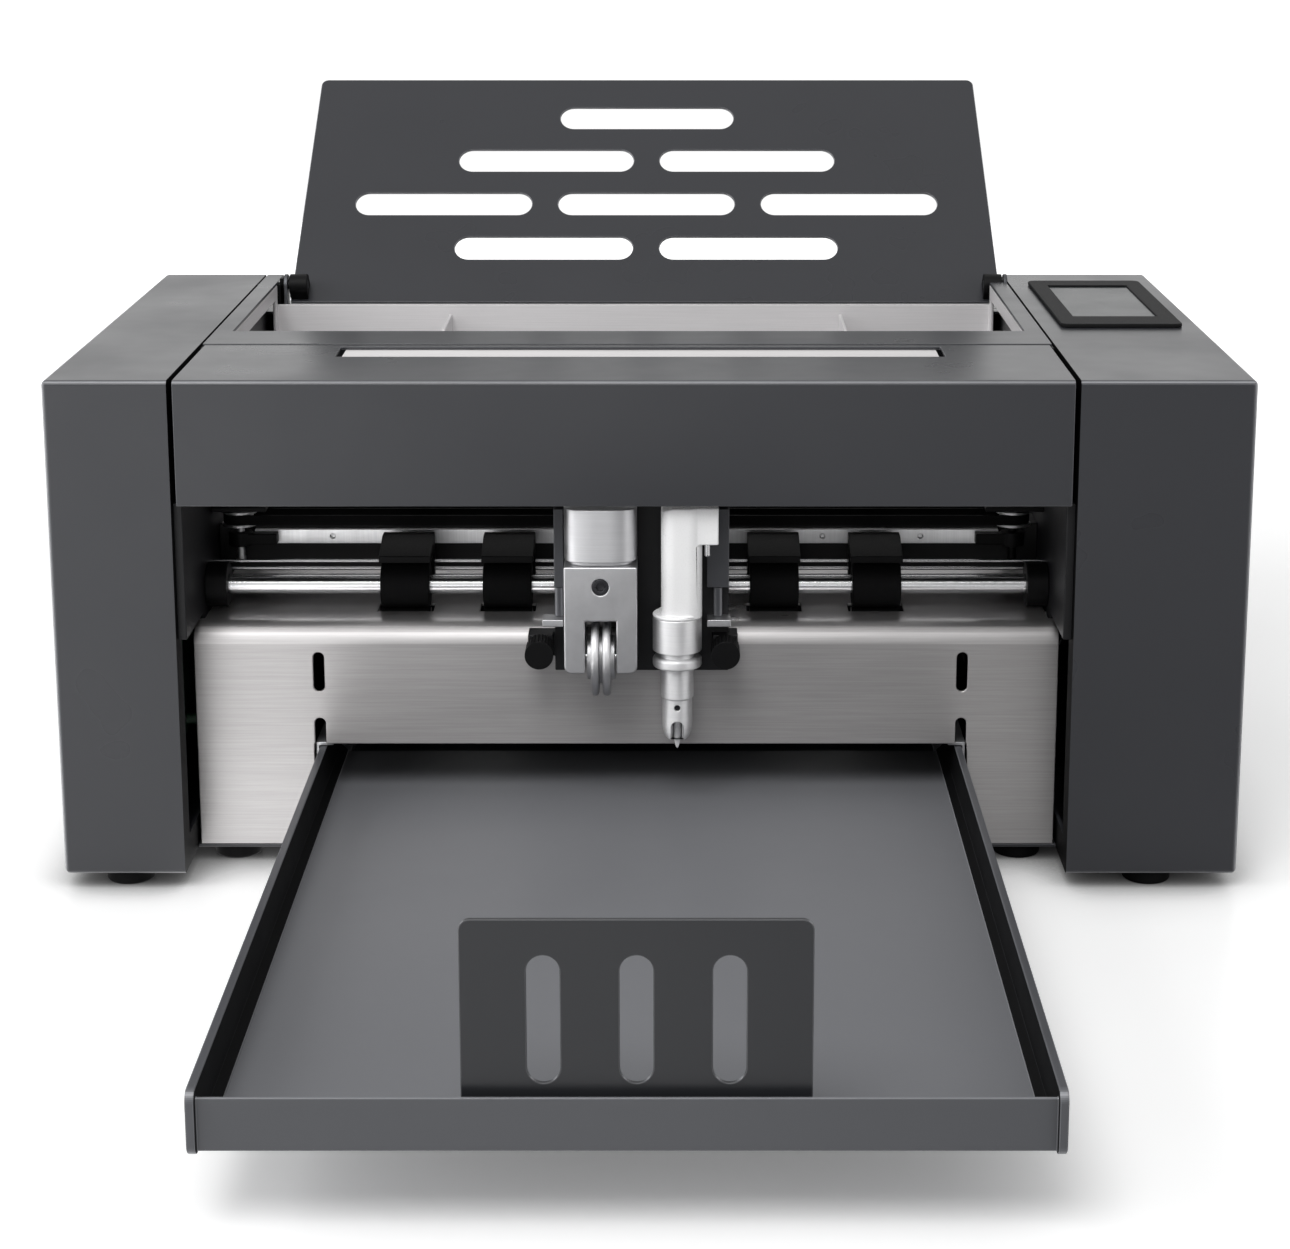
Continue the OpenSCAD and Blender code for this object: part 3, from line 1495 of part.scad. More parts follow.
module grit_shaft() placed() color(silver) {
    x_rod(x_left, x_right, feed_y, grit_z, grit_shaft_d);
    for (x = roller_places) x_rod(x - roller_w / 2, x + roller_w / 2, feed_y, grit_z, grit_d);
}

module pickup_roller() placed() color(rubber) {
    x_rod(x_left, x_right, pickup_y, pickup_z, pickup_shaft_d);
    for (i = [-1:1]) {
        x = path_x + i * pickup_pitch;
        x_rod(x - pickup_w / 2, x + pickup_w / 2, pickup_y, pickup_z, pickup_d);
    }
}

// Points of a quarter arc round a middle
function arc(c, r, a0, a1, steps = 8) =
    [for (i = [0:steps]) let (a = a0 + (a1 - a0) * i / steps) [c[0] + r * cos(a), c[1] + r * sin(a)]];

module rear_tray() placed() color(charcoal) on_tray() {
    past = 1;
    top_half = tray_half - tray_taper;
    slot_edge = 10;
    slot_pitch = min(tray_slot_pitch, (2 * top_half - 2 * slot_edge) / max(tray_rows));
    slot_l = min(tray_slot_l, slot_pitch - slot_edge);
    outline = concat(
        [[-tray_half, -tray_below], [tray_half, -tray_below]],
        arc([top_half - tray_r, tray_above - tray_r], tray_r, 0, 90),
        arc([tray_r - top_half, tray_above - tray_r], tray_r, 90, 180)
    );
    translate([0, 0, -tray_offset - tray_t]) difference() {
        linear_extrude(tray_t) polygon(outline);
        for (row = [0:len(tray_rows) - 1], i = [0:tray_rows[row] - 1])
            translate([(i - (tray_rows[row] - 1) / 2) * slot_pitch,
                       tray_row_first - tray_below + row * tray_row_pitch, -past])
                linear_extrude(tray_t + 2 * past) obround(slot_l, tray_slot_w);
    }
}

module rear_tray_knuckles() placed() color(black) on_tray() {
    pin_hole = tray_pin_d + 2 * run_gap;
    for (side = [-1, 1]) mirror([side < 0 ? 1 : 0, 0, 0]) difference() {
        union() {
            x_rod(tray_half - knuckle_w, tray_half, 0, 0, 2 * ear_r);
            box(tray_half - knuckle_w, tray_half, -ear_r, ear_r, -tray_offset, 0);
        }
        x_rod(tray_half - 2 * knuckle_w, tray_half + ear_t, 0, 0, pin_hole);
    }
}

// Floor, front lip and side plates, with the ears and pin of the stop hinge on the floor
module out_tray() placed() color(charcoal) {
    lip_y = lip_in - out_reach;
    r = out_side_r;
    ear_x = stop_w / 2 + stop_ear_gap;
    box(out_left + out_side_t, out_right - out_side_t, lip_y, out_inside, floor_z, floor_top);
    box(out_left + out_side_t, out_right - out_side_t, lip_y, lip_y + sheet, floor_top, floor_z + lip_h);
    for (x = [out_left, out_right - out_side_t]) along_x(x, x + out_side_t) {
        translate([r - out_reach, out_bottom]) square([out_inside + out_reach - r, out_side_h]);
        translate([-out_reach, out_bottom + r]) square([r, out_side_h - 2 * r]);
        for (z = [out_bottom + r, out_top - r]) translate([r - out_reach, z]) circle(r);
    }
    for (side = [-1, 1]) translate([stop_x, 0, 0]) mirror([side < 0 ? 1 : 0, 0, 0])
        along_x(ear_x, ear_x + stop_ear_t) {
            translate([stop_y, stop_z]) circle(stop_knuckle_r);
            translate([stop_y - stop_knuckle_r, floor_top]) square([2 * stop_knuckle_r, stop_z - floor_top]);
        }
    x_rod(stop_x - ear_x - stop_ear_t, stop_x + ear_x + stop_ear_t, stop_y, stop_z, stop_pin_d);
}

module stop_plate() placed() color(charcoal) {
    past = 1;
    top = stop_z + stop_h;
    knuckle_l = 24;
    half = stop_w / 2;
    plate_outline = concat(
        [[-half, stop_z], [half, stop_z]],
        arc([half - stop_r, top - stop_r], stop_r, 0, 90),
        arc([stop_r - half, top - stop_r], stop_r, 90, 180)
    );
    difference() {
        union() {
            along_y(stop_y - stop_t / 2, stop_y + stop_t / 2) translate([stop_x, 0]) difference() {
                polygon(plate_outline);
                for (i = [-1:1]) translate([i * stop_slot_pitch, top - stop_slot_drop - stop_slot_h / 2])
                    rotate(90) obround(stop_slot_h, stop_slot_w);
            }
            for (x = [stop_x - half, stop_x + half - knuckle_l])
                x_rod(x, x + knuckle_l, stop_y, stop_z, 2 * stop_knuckle_r);
        }
        x_rod(stop_x - stop_w, stop_x + stop_w, stop_y, stop_z, stop_pin_d + 2 * run_gap);
    }
}

// Upright fin over the chute, with a tongue through the chute slot to a block on the rod below
module paper_guide(side) {
    x = path_x + side * guide_out;
    lift = slide_gap / cos(tray_tilt);
    back = wall_y - 2;
    front = back - guide_d;
    top = cover_top - guide_drop;
    nose = 8;
    on_slope = tan(tray_tilt);
    fin = [
        [back, top],
        [back, platen_top + (back - chute_y) * on_slope + lift],
        [front, platen_top + (front - chute_y) * on_slope + lift],
        [front, top - nose],
        [front + nose, top]
    ];
    block_h = guide_rod_d + 4;
    foot_y0 = guide_rod_up - guide_foot_w / 2;
    foot_y1 = guide_rod_up + guide_foot_w / 2;
    along_x(x - guide_t / 2, x + guide_t / 2) polygon(fin);
    on_chute() difference() {
        union() {
            box(x - guide_t / 2, x + guide_t / 2, foot_y0, foot_y1, -guide_rod_down, 2 * slide_gap);
            box(x - guide_foot_w / 2, x + guide_foot_w / 2, foot_y0, foot_y1, -guide_rod_down - block_h / 2,
                -guide_rod_down + block_h / 2);
        }
        x_rod(x - guide_foot_w, x + guide_foot_w, guide_rod_up, -guide_rod_down, guide_rod_d + 2 * run_gap);
    }
}

module left_paper_guide() placed() color(brushed) paper_guide(-1);

module right_paper_guide() placed() color(brushed) paper_guide(1);

base_pan();
left_side_frame();
right_side_frame();
left_side_cover();
right_side_cover();
front_hood();
hood_inlay_strip();
front_apron();
rear_panel();
trough_rim();
feed_chute();
hinge_brackets();
feet();
screen_bezel();
screen_glass();
carriage_beam();
guide_rail();
guide_rods();
roller_clips();
feed_bearings();
belt_brackets();
carriage_motor();
carriage_belt();
feed_motor();
feed_belt();
main_board();
power_supply();
rear_socket_panel();
power_rocker();
tray_runners();
cover_screws();
carriage_body();
lift_cylinders();
clamp_brackets();
left_clamp_knob();
right_clamp_knob();
crease_cap();
crease_block();
crease_screw();
crease_axle();
crease_wheel();
blade_head();
blade_sleeve();
blade_barrel();
blade();
feed_shaft();
feed_rollers();
feed_pulley();
motor_pulley();
grit_shaft();
pickup_roller();
drive_pulley();
idler_pulley();
rear_tray();
rear_tray_knuckles();
out_tray();
stop_plate();
left_paper_guide();
right_paper_guide();
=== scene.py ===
"""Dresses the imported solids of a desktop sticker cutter: folded sheets with rounded edges, turned
rollers and tools, and the finish of each real material, on a pale studio floor."""

import json
import math

import bmesh
import bpy
from mathutils import Matrix, Vector

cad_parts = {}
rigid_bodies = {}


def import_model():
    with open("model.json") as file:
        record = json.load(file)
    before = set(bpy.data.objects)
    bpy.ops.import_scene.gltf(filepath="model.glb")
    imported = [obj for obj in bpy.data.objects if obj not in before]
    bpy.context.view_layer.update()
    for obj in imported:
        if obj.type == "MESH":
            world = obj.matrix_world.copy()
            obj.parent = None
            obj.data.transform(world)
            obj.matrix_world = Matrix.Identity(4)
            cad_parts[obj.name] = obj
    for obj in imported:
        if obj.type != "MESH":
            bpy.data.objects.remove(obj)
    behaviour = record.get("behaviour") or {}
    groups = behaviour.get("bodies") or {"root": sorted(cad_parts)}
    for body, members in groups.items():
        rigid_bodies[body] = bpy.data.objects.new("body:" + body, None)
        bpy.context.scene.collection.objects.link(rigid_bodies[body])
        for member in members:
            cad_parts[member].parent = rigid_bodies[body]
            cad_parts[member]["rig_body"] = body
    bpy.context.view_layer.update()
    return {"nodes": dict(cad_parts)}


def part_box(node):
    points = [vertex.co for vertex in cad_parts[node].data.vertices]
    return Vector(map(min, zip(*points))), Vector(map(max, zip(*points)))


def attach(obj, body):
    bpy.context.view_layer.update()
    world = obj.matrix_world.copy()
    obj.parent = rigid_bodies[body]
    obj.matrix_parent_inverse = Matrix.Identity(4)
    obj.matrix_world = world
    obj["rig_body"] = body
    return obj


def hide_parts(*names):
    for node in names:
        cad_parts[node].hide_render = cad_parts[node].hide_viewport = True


bl_info = {
    "name": "Sticker Cutter Dressing",
    "version": (1, 0, 0),
    "blender": (4, 5, 0),
    "location": "3D View > Sidebar > Cutter",
    "description": "Builds the visible pieces and finishes of a desktop sticker cutter",
    "category": "Object",
}

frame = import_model()
MM = 0.001
FRONT_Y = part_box("left_side_cover")[0].y
HALF_STAGE = 4.0


# Colours and nodes

def linear(code):
    """An sRGB hex value as a linear colour with full alpha."""
    parts = [int(code[i:i + 2], 16) / 255 for i in (1, 3, 5)]
    return [c / 12.92 if c <= 0.04045 else ((c + 0.055) / 1.055) ** 2.4 for c in parts] + [1.0]


def add(tree, kind, inputs=(), to=None, out=0, **settings):
    """Adds a node, sets it up, fills its inputs with values or links, and may link one output on."""
    node = tree.nodes.new(kind)
    for name, value in settings.items():
        setattr(node, name, value)
    for name, value in dict(inputs).items():
        if isinstance(value, bpy.types.NodeSocket):
            tree.links.new(value, node.inputs[name])
        else:
            node.inputs[name].default_value = value
    if to is not None:
        tree.links.new(node.outputs[out], to)
    return node


def start_material(name, **sockets):
    """An empty material with one shader, whose constant sockets are set on the shader itself."""
    material = bpy.data.materials.new(name)
    material.use_nodes = True
    tree = material.node_tree
    tree.nodes.clear()
    shader = add(tree, "ShaderNodeBsdfPrincipled", {k.replace("_", " "): v for k, v in sockets.items()})
    add(tree, "ShaderNodeOutputMaterial", {"Surface": shader.outputs[0]})
    spot = add(tree, "ShaderNodeTexCoord")
    return material, tree, shader, spot.outputs["Object"]


def grain(tree, spot, size_mm, stretch=(1, 1, 1), detail=3.0):
    """Noise whose features are about size_mm wide, drawn out by stretch along each axis."""
    mapped = add(tree, "ShaderNodeMapping", {"Vector": spot, "Scale": tuple(1 / s for s in stretch)})
    noise = add(tree, "ShaderNodeTexNoise", {
        "Vector": mapped.outputs[0], "Scale": 1 / (size_mm * MM), "Detail": detail, "Roughness": 0.6})
    return noise.outputs[0]


def seen(tree):
    """1 on rays that reach the eye straight, by gloss or through glass, and 0 on others."""
    path = add(tree, "ShaderNodeLightPath")
    gloss = add(tree, "ShaderNodeMath", {
        0: path.outputs["Is Camera Ray"], 1: path.outputs["Is Glossy Ray"]}, operation="MAXIMUM")
    return add(tree, "ShaderNodeMath", {
        0: gloss.outputs[0], 1: path.outputs["Is Transmission Ray"]}, operation="MAXIMUM").outputs[0]


# Finishes

# Most of a noise lies in this range, which each pattern stretches to its own two ends
MIDDLE = {"From Min": 0.3, "From Max": 0.7}


def coat_material(name, dark, light, rough, ior, highlighted="#a2a3a7"):
    """Powder-coated metal, baked: half gloss with a faint orange peel, and a patchy painted highlight along bends and
    edges.
    """
    # The peel is about 0.6 mm wide on the real coat, and is drawn at 1.4 mm so that it shows
    material, tree, shader, spot = start_material(name, IOR=ior)
    peel = grain(tree, spot, 1.4, detail=2)
    cloud = grain(tree, spot, 90)
    fleck = grain(tree, spot, 0.7, detail=1)
    blotch = grain(tree, spot, 40, (3, 3, 3))
    mottle = add(tree, "ShaderNodeMath", {0: cloud, 1: fleck}, operation="MULTIPLY_ADD")
    even = add(tree, "ShaderNodeMapRange", {"Value": mottle.outputs[0], **MIDDLE})
    colour = add(tree, "ShaderNodeMix", {
        0: even.outputs[0], 6: linear(dark), 7: linear(light)}, data_type="RGBA")
    # Narrow bend and edge faces get a painted highlight in the highlighted colour, broken into patches by the blotch
    # noise
    bend = add(tree, "ShaderNodeAttribute", attribute_name="bend")
    patchy = add(tree, "ShaderNodeMapRange", {"Value": blotch, **MIDDLE, "To Min": 0.55, "To Max": 1.0})
    edge_highlight = add(tree, "ShaderNodeMath", {0: bend.outputs["Fac"], 1: patchy.outputs[0]}, operation="MULTIPLY")
    add(tree, "ShaderNodeMix", {0: edge_highlight.outputs[0], 6: colour.outputs[2], 7: linear(highlighted)},
        shader.inputs["Base Color"], 2, data_type="RGBA")
    add(tree, "ShaderNodeMapRange", {"Value": cloud, **MIDDLE, "To Min": rough - 0.04, "To Max": rough + 0.05},
        shader.inputs["Roughness"])
    add(tree, "ShaderNodeBump", {"Height": peel, "Distance": 0.03 * MM, "Strength": 0.1}, shader.inputs["Normal"])
    return material


def brushed_material(name, dark, light, rough, stretch=(60, 1, 1), line_mm=0.8, depth_mm=0.012, metal=1.0):
    """Stainless or zinc sheet, brushed on a belt: fine lines along X that smear reflections across them."""
    # Real brush lines are about 0.1 mm apart, and are drawn at about 0.8 mm so that they show
    material, tree, shader, spot = start_material(name, Metallic=metal, Anisotropic=0.7, Anisotropic_Rotation=0.25)
    lines = grain(tree, spot, line_mm, stretch, 4)
    cloud = grain(tree, spot, 70, (3, 1, 1))
    streak = add(tree, "ShaderNodeMapRange", {"Value": lines, **MIDDLE})
    add(tree, "ShaderNodeMix", {0: streak.outputs[0], 6: linear(dark), 7: linear(light)},
        shader.inputs["Base Color"], 2, data_type="RGBA")
    add(tree, "ShaderNodeMapRange", {"Value": cloud, **MIDDLE, "To Min": rough - 0.04, "To Max": rough + 0.05},
        shader.inputs["Roughness"])
    add(tree, "ShaderNodeCombineXYZ", {"X": 1.0}, shader.inputs["Tangent"])
    add(tree, "ShaderNodeBump", {"Height": lines, "Distance": depth_mm * MM, "Strength": 0.25},
        shader.inputs["Normal"])
    return material


def polished_material(name, dark, light, rough, axis):
    """Ground or turned metal: bright, with faint rings round the axis that smear reflections along it."""
    # Tool rings are about 0.1 mm apart, and are drawn near 1 mm so that they show
    material, tree, shader, spot = start_material(name, Metallic=1.0, Anisotropic=0.6, Anisotropic_Rotation=0.25)
    rings = grain(tree, spot, 1.0, [1 if a else 40 for a in axis], 2)
    cloud = grain(tree, spot, 15)
    streak = add(tree, "ShaderNodeMapRange", {"Value": rings, **MIDDLE})
    add(tree, "ShaderNodeMix", {0: streak.outputs[0], 6: linear(dark), 7: linear(light)},
        shader.inputs["Base Color"], 2, data_type="RGBA")
    add(tree, "ShaderNodeMapRange", {"Value": cloud, **MIDDLE, "To Min": rough * 0.9, "To Max": rough * 1.1},
        shader.inputs["Roughness"])
    face = add(tree, "ShaderNodeNewGeometry")
    add(tree, "ShaderNodeVectorMath", {0: axis, 1: face.outputs["Normal"]}, shader.inputs["Tangent"],
        operation="CROSS_PRODUCT")
    add(tree, "ShaderNodeBump", {"Height": rings, "Distance": 0.003 * MM, "Strength": 0.1},
        shader.inputs["Normal"])
    return material


def blasted_material(name):
    """Milled aluminium, glass-bead blasted: a pale even grey with a fine matt sparkle."""
    # Bead marks are about 0.1 mm wide, and are drawn at 0.8 mm so that they show
    material, tree, shader, spot = start_material(name, Metallic=1.0)
    bead = grain(tree, spot, 0.8, detail=2)
    cloud = add(tree, "ShaderNodeMapRange", {"Value": grain(tree, spot, 18), **MIDDLE})
    add(tree, "ShaderNodeMix", {0: cloud.outputs[0], 6: linear("#bdbdbf"), 7: linear("#cacacc")},
        shader.inputs["Base Color"], 2, data_type="RGBA")
    add(tree, "ShaderNodeMapRange", {"Value": bead, **MIDDLE, "To Min": 0.34, "To Max": 0.46},
        shader.inputs["Roughness"])
    add(tree, "ShaderNodeBump", {"Height": bead, "Distance": 0.03 * MM, "Strength": 0.25}, shader.inputs["Normal"])
    return material


def moulded_material(name, dark, light, rough, grain_mm=0.9, depth_mm=0.05, ior=1.5):
    """Moulded plastic or rubber: an even colour with the fine grain of the mould."""
    # Spark-eroded grain is about 0.2 mm wide, and is drawn near 1 mm so that it shows
    material, tree, shader, spot = start_material(name, IOR=ior)
    fine = grain(tree, spot, grain_mm, detail=2)
    cloud = add(tree, "ShaderNodeMapRange", {"Value": grain(tree, spot, 25), **MIDDLE})
    add(tree, "ShaderNodeMix", {0: cloud.outputs[0], 6: linear(dark), 7: linear(light)},
        shader.inputs["Base Color"], 2, data_type="RGBA")
    add(tree, "ShaderNodeMapRange", {"Value": fine, **MIDDLE, "To Min": rough - 0.06, "To Max": rough + 0.06},
        shader.inputs["Roughness"])
    add(tree, "ShaderNodeBump", {"Height": fine, "Distance": depth_mm * MM, "Strength": 0.3},
        shader.inputs["Normal"])
    return material


def screen_material(name):
    """Cover glass over a dark display: smooth, with the panel just seen as a fine grid."""
    # Real cells are about 0.1 mm wide, and are drawn at 2.4 mm so that they show
    material, tree, shader, spot = start_material(name, IOR=1.16)
    cells = add(tree, "ShaderNodeTexBrick", {
        "Vector": spot, "Color1": linear("#23292b"), "Color2": linear("#282e30"), "Mortar": linear("#1c2123"),
        "Scale": 1 / (2.4 * MM), "Mortar Size": 0.03, "Brick Width": 1.0, "Row Height": 1.0}, offset=0.0)
    tree.links.new(cells.outputs["Color"], shader.inputs["Base Color"])
    smear = grain(tree, spot, 30)
    add(tree, "ShaderNodeMapRange", {"Value": smear, **MIDDLE, "To Min": 0.16, "To Max": 0.22},
        shader.inputs["Roughness"])
    return material


def board_material(name):
    """Fibreglass circuit board under green solder mask, with copper tracks that show through it."""
    material, tree, shader, spot = start_material(name, IOR=1.5, Roughness=0.4)
    turned_spot = add(tree, "ShaderNodeMapping", {"Vector": spot, "Rotation": (0, math.pi / 2, 0)})
    tracks = add(tree, "ShaderNodeTexBrick", {
        "Vector": turned_spot.outputs[0], "Color1": linear("#0d2919"), "Color2": linear("#0f2e1d"),
        "Mortar": linear("#1f482c"), "Scale": 1 / (9 * MM), "Mortar Size": 0.05})
    tree.links.new(tracks.outputs["Color"], shader.inputs["Base Color"])
    add(tree, "ShaderNodeBump", {"Height": tracks.outputs["Fac"], "Distance": 0.04 * MM, "Strength": 0.4},
        shader.inputs["Normal"])
    return material


COAT = "Powder-coated steel, charcoal"
LIT_COAT = "Powder-coated steel, charcoal painted lit"
HALF_LIT_COAT = "Powder-coated steel, charcoal painted half lit"
DEEP_COAT = "Powder-coated steel, deep charcoal"
SHADE_COAT = "Powder-coated steel, charcoal painted in shade"
BLACK_COAT = "Powder-coated steel, black"
GREY_COAT = "Powder-coated aluminium, slate grey"
STAINLESS = "Stainless steel, belt-brushed"
BEND_HIGHLIGHT = "Stainless steel, bend rubbed bright"
PLATEN = "Stainless steel, platen polished"
STRIP = "Stainless steel, belt-brushed strip"
CHUTE = "Stainless steel, belt-brushed trough"
CHROME = "Bar steel, ground and polished"
SATIN = "Aluminium, satin blasted"
TURNED = "Aluminium, fine turned"
CAP = "Aluminium, turned and anodised"
RAIL = "Bar steel, ground flat"
WHEEL = "Tool steel, turned rim"
ABS = "ABS, moulded white"
BLACK = "Polyamide, moulded black"
BEZEL = "ABS, moulded matt black"
RUBBER = "Rubber, moulded and ground"
GLASS = "Cover glass over display"
BOARD = "Circuit board, solder mask"
ZINC = "Sheet steel, zinc plated"
DARK_ZINC = "Sheet steel, black zinc plated"
OXIDE = "Screw steel, black oxide"
MAKERS = {
    # Baked powder: half gloss, from the pale floor of the tray to near black; the pale, mid grey and dark charcoal
    # coats are copies of the charcoal one with painted light and shade
    COAT: lambda n: coat_material(n, "#2b2c30", "#323337", 0.3, 1.42),
    LIT_COAT: lambda n: coat_material(n, "#737478", "#7a7b7f", 0.4, 1.42),
    HALF_LIT_COAT: lambda n: coat_material(n, "#47484c", "#4e4f53", 0.34, 1.42),
    DEEP_COAT: lambda n: coat_material(n, "#222326", "#28292c", 0.34, 1.4),
    SHADE_COAT: lambda n: coat_material(n, "#08090a", "#0c0c0d", 0.6, 1.14, "#5c5d61"),
    BLACK_COAT: lambda n: coat_material(n, "#0e0e10", "#131315", 0.45, 1.35, "#2a2a2c"),
    GREY_COAT: lambda n: coat_material(n, "#3c3d41", "#434448", 0.4, 1.42),
    # Brushed sheet: soft streaks along the length, brightest where a highlight is painted on a bend
    STAINLESS: lambda n: brushed_material(n, "#9f9d9d", "#aba9a9", 0.46),
    BEND_HIGHLIGHT: lambda n: brushed_material(n, "#b2b0b0", "#bcbaba", 0.44),
    PLATEN: lambda n: brushed_material(n, "#d2d0d0", "#dad8d8", 0.29),
    STRIP: lambda n: brushed_material(n, "#c8c6c6", "#d3d1d1", 0.48),
    CHUTE: lambda n: brushed_material(n, "#d0cecf", "#d8d6d7", 0.5, metal=0.35),
    # Ground, turned and blasted bar: bright bands along the shafts and round the tools
    CHROME: lambda n: polished_material(n, "#dcdcde", "#e6e6e8", 0.24, (1, 0, 0)),
    SATIN: blasted_material,
    TURNED: lambda n: polished_material(n, "#dededf", "#e4e4e5", 0.58, (0, 0, 1)),
    CAP: lambda n: polished_material(n, "#c4c4c6", "#cbcbcd", 0.52, (0, 0, 1)),
    RAIL: lambda n: polished_material(n, "#dcdcdd", "#e6e6e7", 0.36, (1, 0, 0)),
    WHEEL: lambda n: polished_material(n, "#c4c4c6", "#cececf", 0.5, (1, 0, 0)),
    # Moulded pieces: even white or black, rubber the dullest
    ABS: lambda n: moulded_material(n, "#fbfbfc", "#ffffff", 0.3, 0.9, 0.02),
    BLACK: lambda n: moulded_material(n, "#0a0a0b", "#0f0f10", 0.5, ior=1.22),
    BEZEL: lambda n: moulded_material(n, "#141415", "#19191a", 0.6, ior=1.18),
    RUBBER: lambda n: moulded_material(n, "#070708", "#0c0c0d", 0.7, 1.1, 0.08, 1.2),
    # Screen, board and plated steel
    GLASS: screen_material,
    BOARD: board_material,
    ZINC: lambda n: brushed_material(n, "#a2a3a5", "#b0b1b3", 0.4, (1, 1, 1), 6, 0.01),
    DARK_ZINC: lambda n: brushed_material(n, "#4c4d50", "#58595c", 0.4, (1, 1, 1), 6, 0.01),
    OXIDE: lambda n: polished_material(n, "#3e3e41", "#4a4a4d", 0.35, (0, 1, 0)),
}


def finish(name):
    """The material of that name, made once."""
    return bpy.data.materials.get(name) or MAKERS[name](name)


# Shaping

SHARP_EDGE = math.radians(38)
SHARP_SHADING = math.radians(50)


def cad_copy(node):
    """A mesh of a solid, with its loose triangles joined into whole faces."""
    bm = bmesh.new()
    bm.from_mesh(frame["nodes"][node].data)
    bmesh.ops.remove_doubles(bm, verts=bm.verts, dist=2e-6)
    bmesh.ops.dissolve_limit(bm, angle_limit=math.radians(0.5), verts=bm.verts, edges=bm.edges)
    return bm


def soften(bm, edge, segments=2):
    """Rounds every edge that turns by more than the sharp angle."""
    sharp = [e for e in bm.edges if len(e.link_faces) == 2 and e.calc_face_angle(0) > SHARP_EDGE]
    if sharp:
        bmesh.ops.bevel(bm, geom=sharp, offset=edge, offset_type="OFFSET", segments=segments, profile=0.5,
                        affect="EDGES", clamp_overlap=False, material=-1)
    return bm


def mark_bends(bm, widest=2.2 * MM):
    """Notes on each face how far it leans between two square faces, for narrow faces such as bends and edges, which
    the coats paint with a highlight.
    """
    layer = bm.faces.layers.float.get("bend") or bm.faces.layers.float.new("bend")
    for face in bm.faces:
        lean = sorted(abs(c) for c in face.normal)
        narrow = face.calc_area() / max(e.calc_length() for e in face.edges) < widest
        face[layer] = (lean[1] / lean[2]) ** 2 if narrow and lean[2] > 0 else 0.0
    return bm


def turned(profile, axis, at, steps):
    """Turns a profile of radius and length pairs, in millimetres, round an axis through a point."""
    bm = bmesh.new()
    point = {"Y": lambda r, a: (0, a, r), "Z": lambda r, a: (r, 0, a)}[axis]
    verts = [bm.verts.new(point(r * MM, a * MM)) for r, a in profile]
    edges = [bm.edges.new(pair) for pair in zip(verts, verts[1:])]
    direction = {"Y": (0, 1, 0), "Z": (0, 0, 1)}[axis]
    bmesh.ops.spin(bm, geom=verts + edges, cent=(0, 0, 0), axis=direction, angle=2 * math.pi, steps=steps,
                   use_merge=True)
    bmesh.ops.remove_doubles(bm, verts=bm.verts, dist=1e-7)
    bmesh.ops.dissolve_degenerate(bm, edges=bm.edges, dist=1e-7)
    bmesh.ops.recalc_face_normals(bm, faces=bm.faces)
    bmesh.ops.translate(bm, verts=bm.verts, vec=at)
    return bm


def join(*parts):
    """Several meshes as one."""
    whole = bmesh.new()
    for part in parts:
        mesh = bpy.data.meshes.new("part")
        part.to_mesh(mesh)
        part.free()
        whole.from_mesh(mesh)
        bpy.data.meshes.remove(mesh)
    return whole


def place(bm, name, material, node=None, body=None):
    """Makes a piece of a mesh, smooth up to the sharp angle, and rides it on its body."""
    mark_bends(bm)
    for face in bm.faces:
        face.smooth = True
    for edge in bm.edges:
        edge.smooth = len(edge.link_faces) == 2 and edge.calc_face_angle(0) < SHARP_SHADING
    mesh = bpy.data.meshes.new(name)
    bm.to_mesh(mesh)
    bm.free()
    mesh.materials.append(finish(material))
    piece = bpy.data.objects.new(name, mesh)
    bpy.context.scene.collection.objects.link(piece)
    weighted = piece.modifiers.new("Flat faces", "WEIGHTED_NORMAL")
    weighted.keep_sharp = True
    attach(piece, body or frame["nodes"][node]["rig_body"])
    if node:
        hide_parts(node)
    return piece


def dress(node, material, edge_mm, segments=2):
    """Rounds the edges of a solid's copy and shows it in place of the solid."""
    return place(soften(cad_copy(node), edge_mm * MM, segments), node + "_dressed", material, node)


def recolour(piece, material, chosen):
    """Gives the faces whose middle and normal are chosen a material of their own."""
    piece.data.materials.append(finish(material))
    for face in piece.data.polygons:
        if chosen(face.center, face.normal):
            face.material_index = len(piece.data.materials) - 1


def spans(node):
    """Corners, middle and size of a solid."""
    low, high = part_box(node)
    return low, high, (low + high) / 2, high - low


# Settings

class CutterSizes(bpy.types.PropertyGroup):
    """Sizes of the visible pieces."""

    cover_edge: bpy.props.FloatProperty(
        name="Cover edge", description="Bend radius of the side covers", default=3 * MM, unit="LENGTH")
    cover_lip: bpy.props.FloatProperty(
        name="Cover lip", description="Width of the lip round the open side of a cover", default=18 * MM,
        unit="LENGTH")
    sheet: bpy.props.FloatProperty(
        name="Sheet", description="Thickness of the folded steel sheet", default=2 * MM, unit="LENGTH")
    seam: bpy.props.FloatProperty(
        name="Seam", description="Open seam between the hood and the trough rim", default=3.2 * MM, unit="LENGTH")
    strip_gap: bpy.props.FloatProperty(
        name="Strip gap", description="Distance that the brushed strip ends short of its lap", default=6.5 * MM,
        unit="LENGTH")
    neck: bpy.props.FloatProperty(
        name="Cap neck", description="Height of the neck under the crease cap", default=2.3 * MM, unit="LENGTH")
    neck_in: bpy.props.FloatProperty(
        name="Neck inset", description="Distance of the neck inside the cap", default=2.5 * MM, unit="LENGTH")


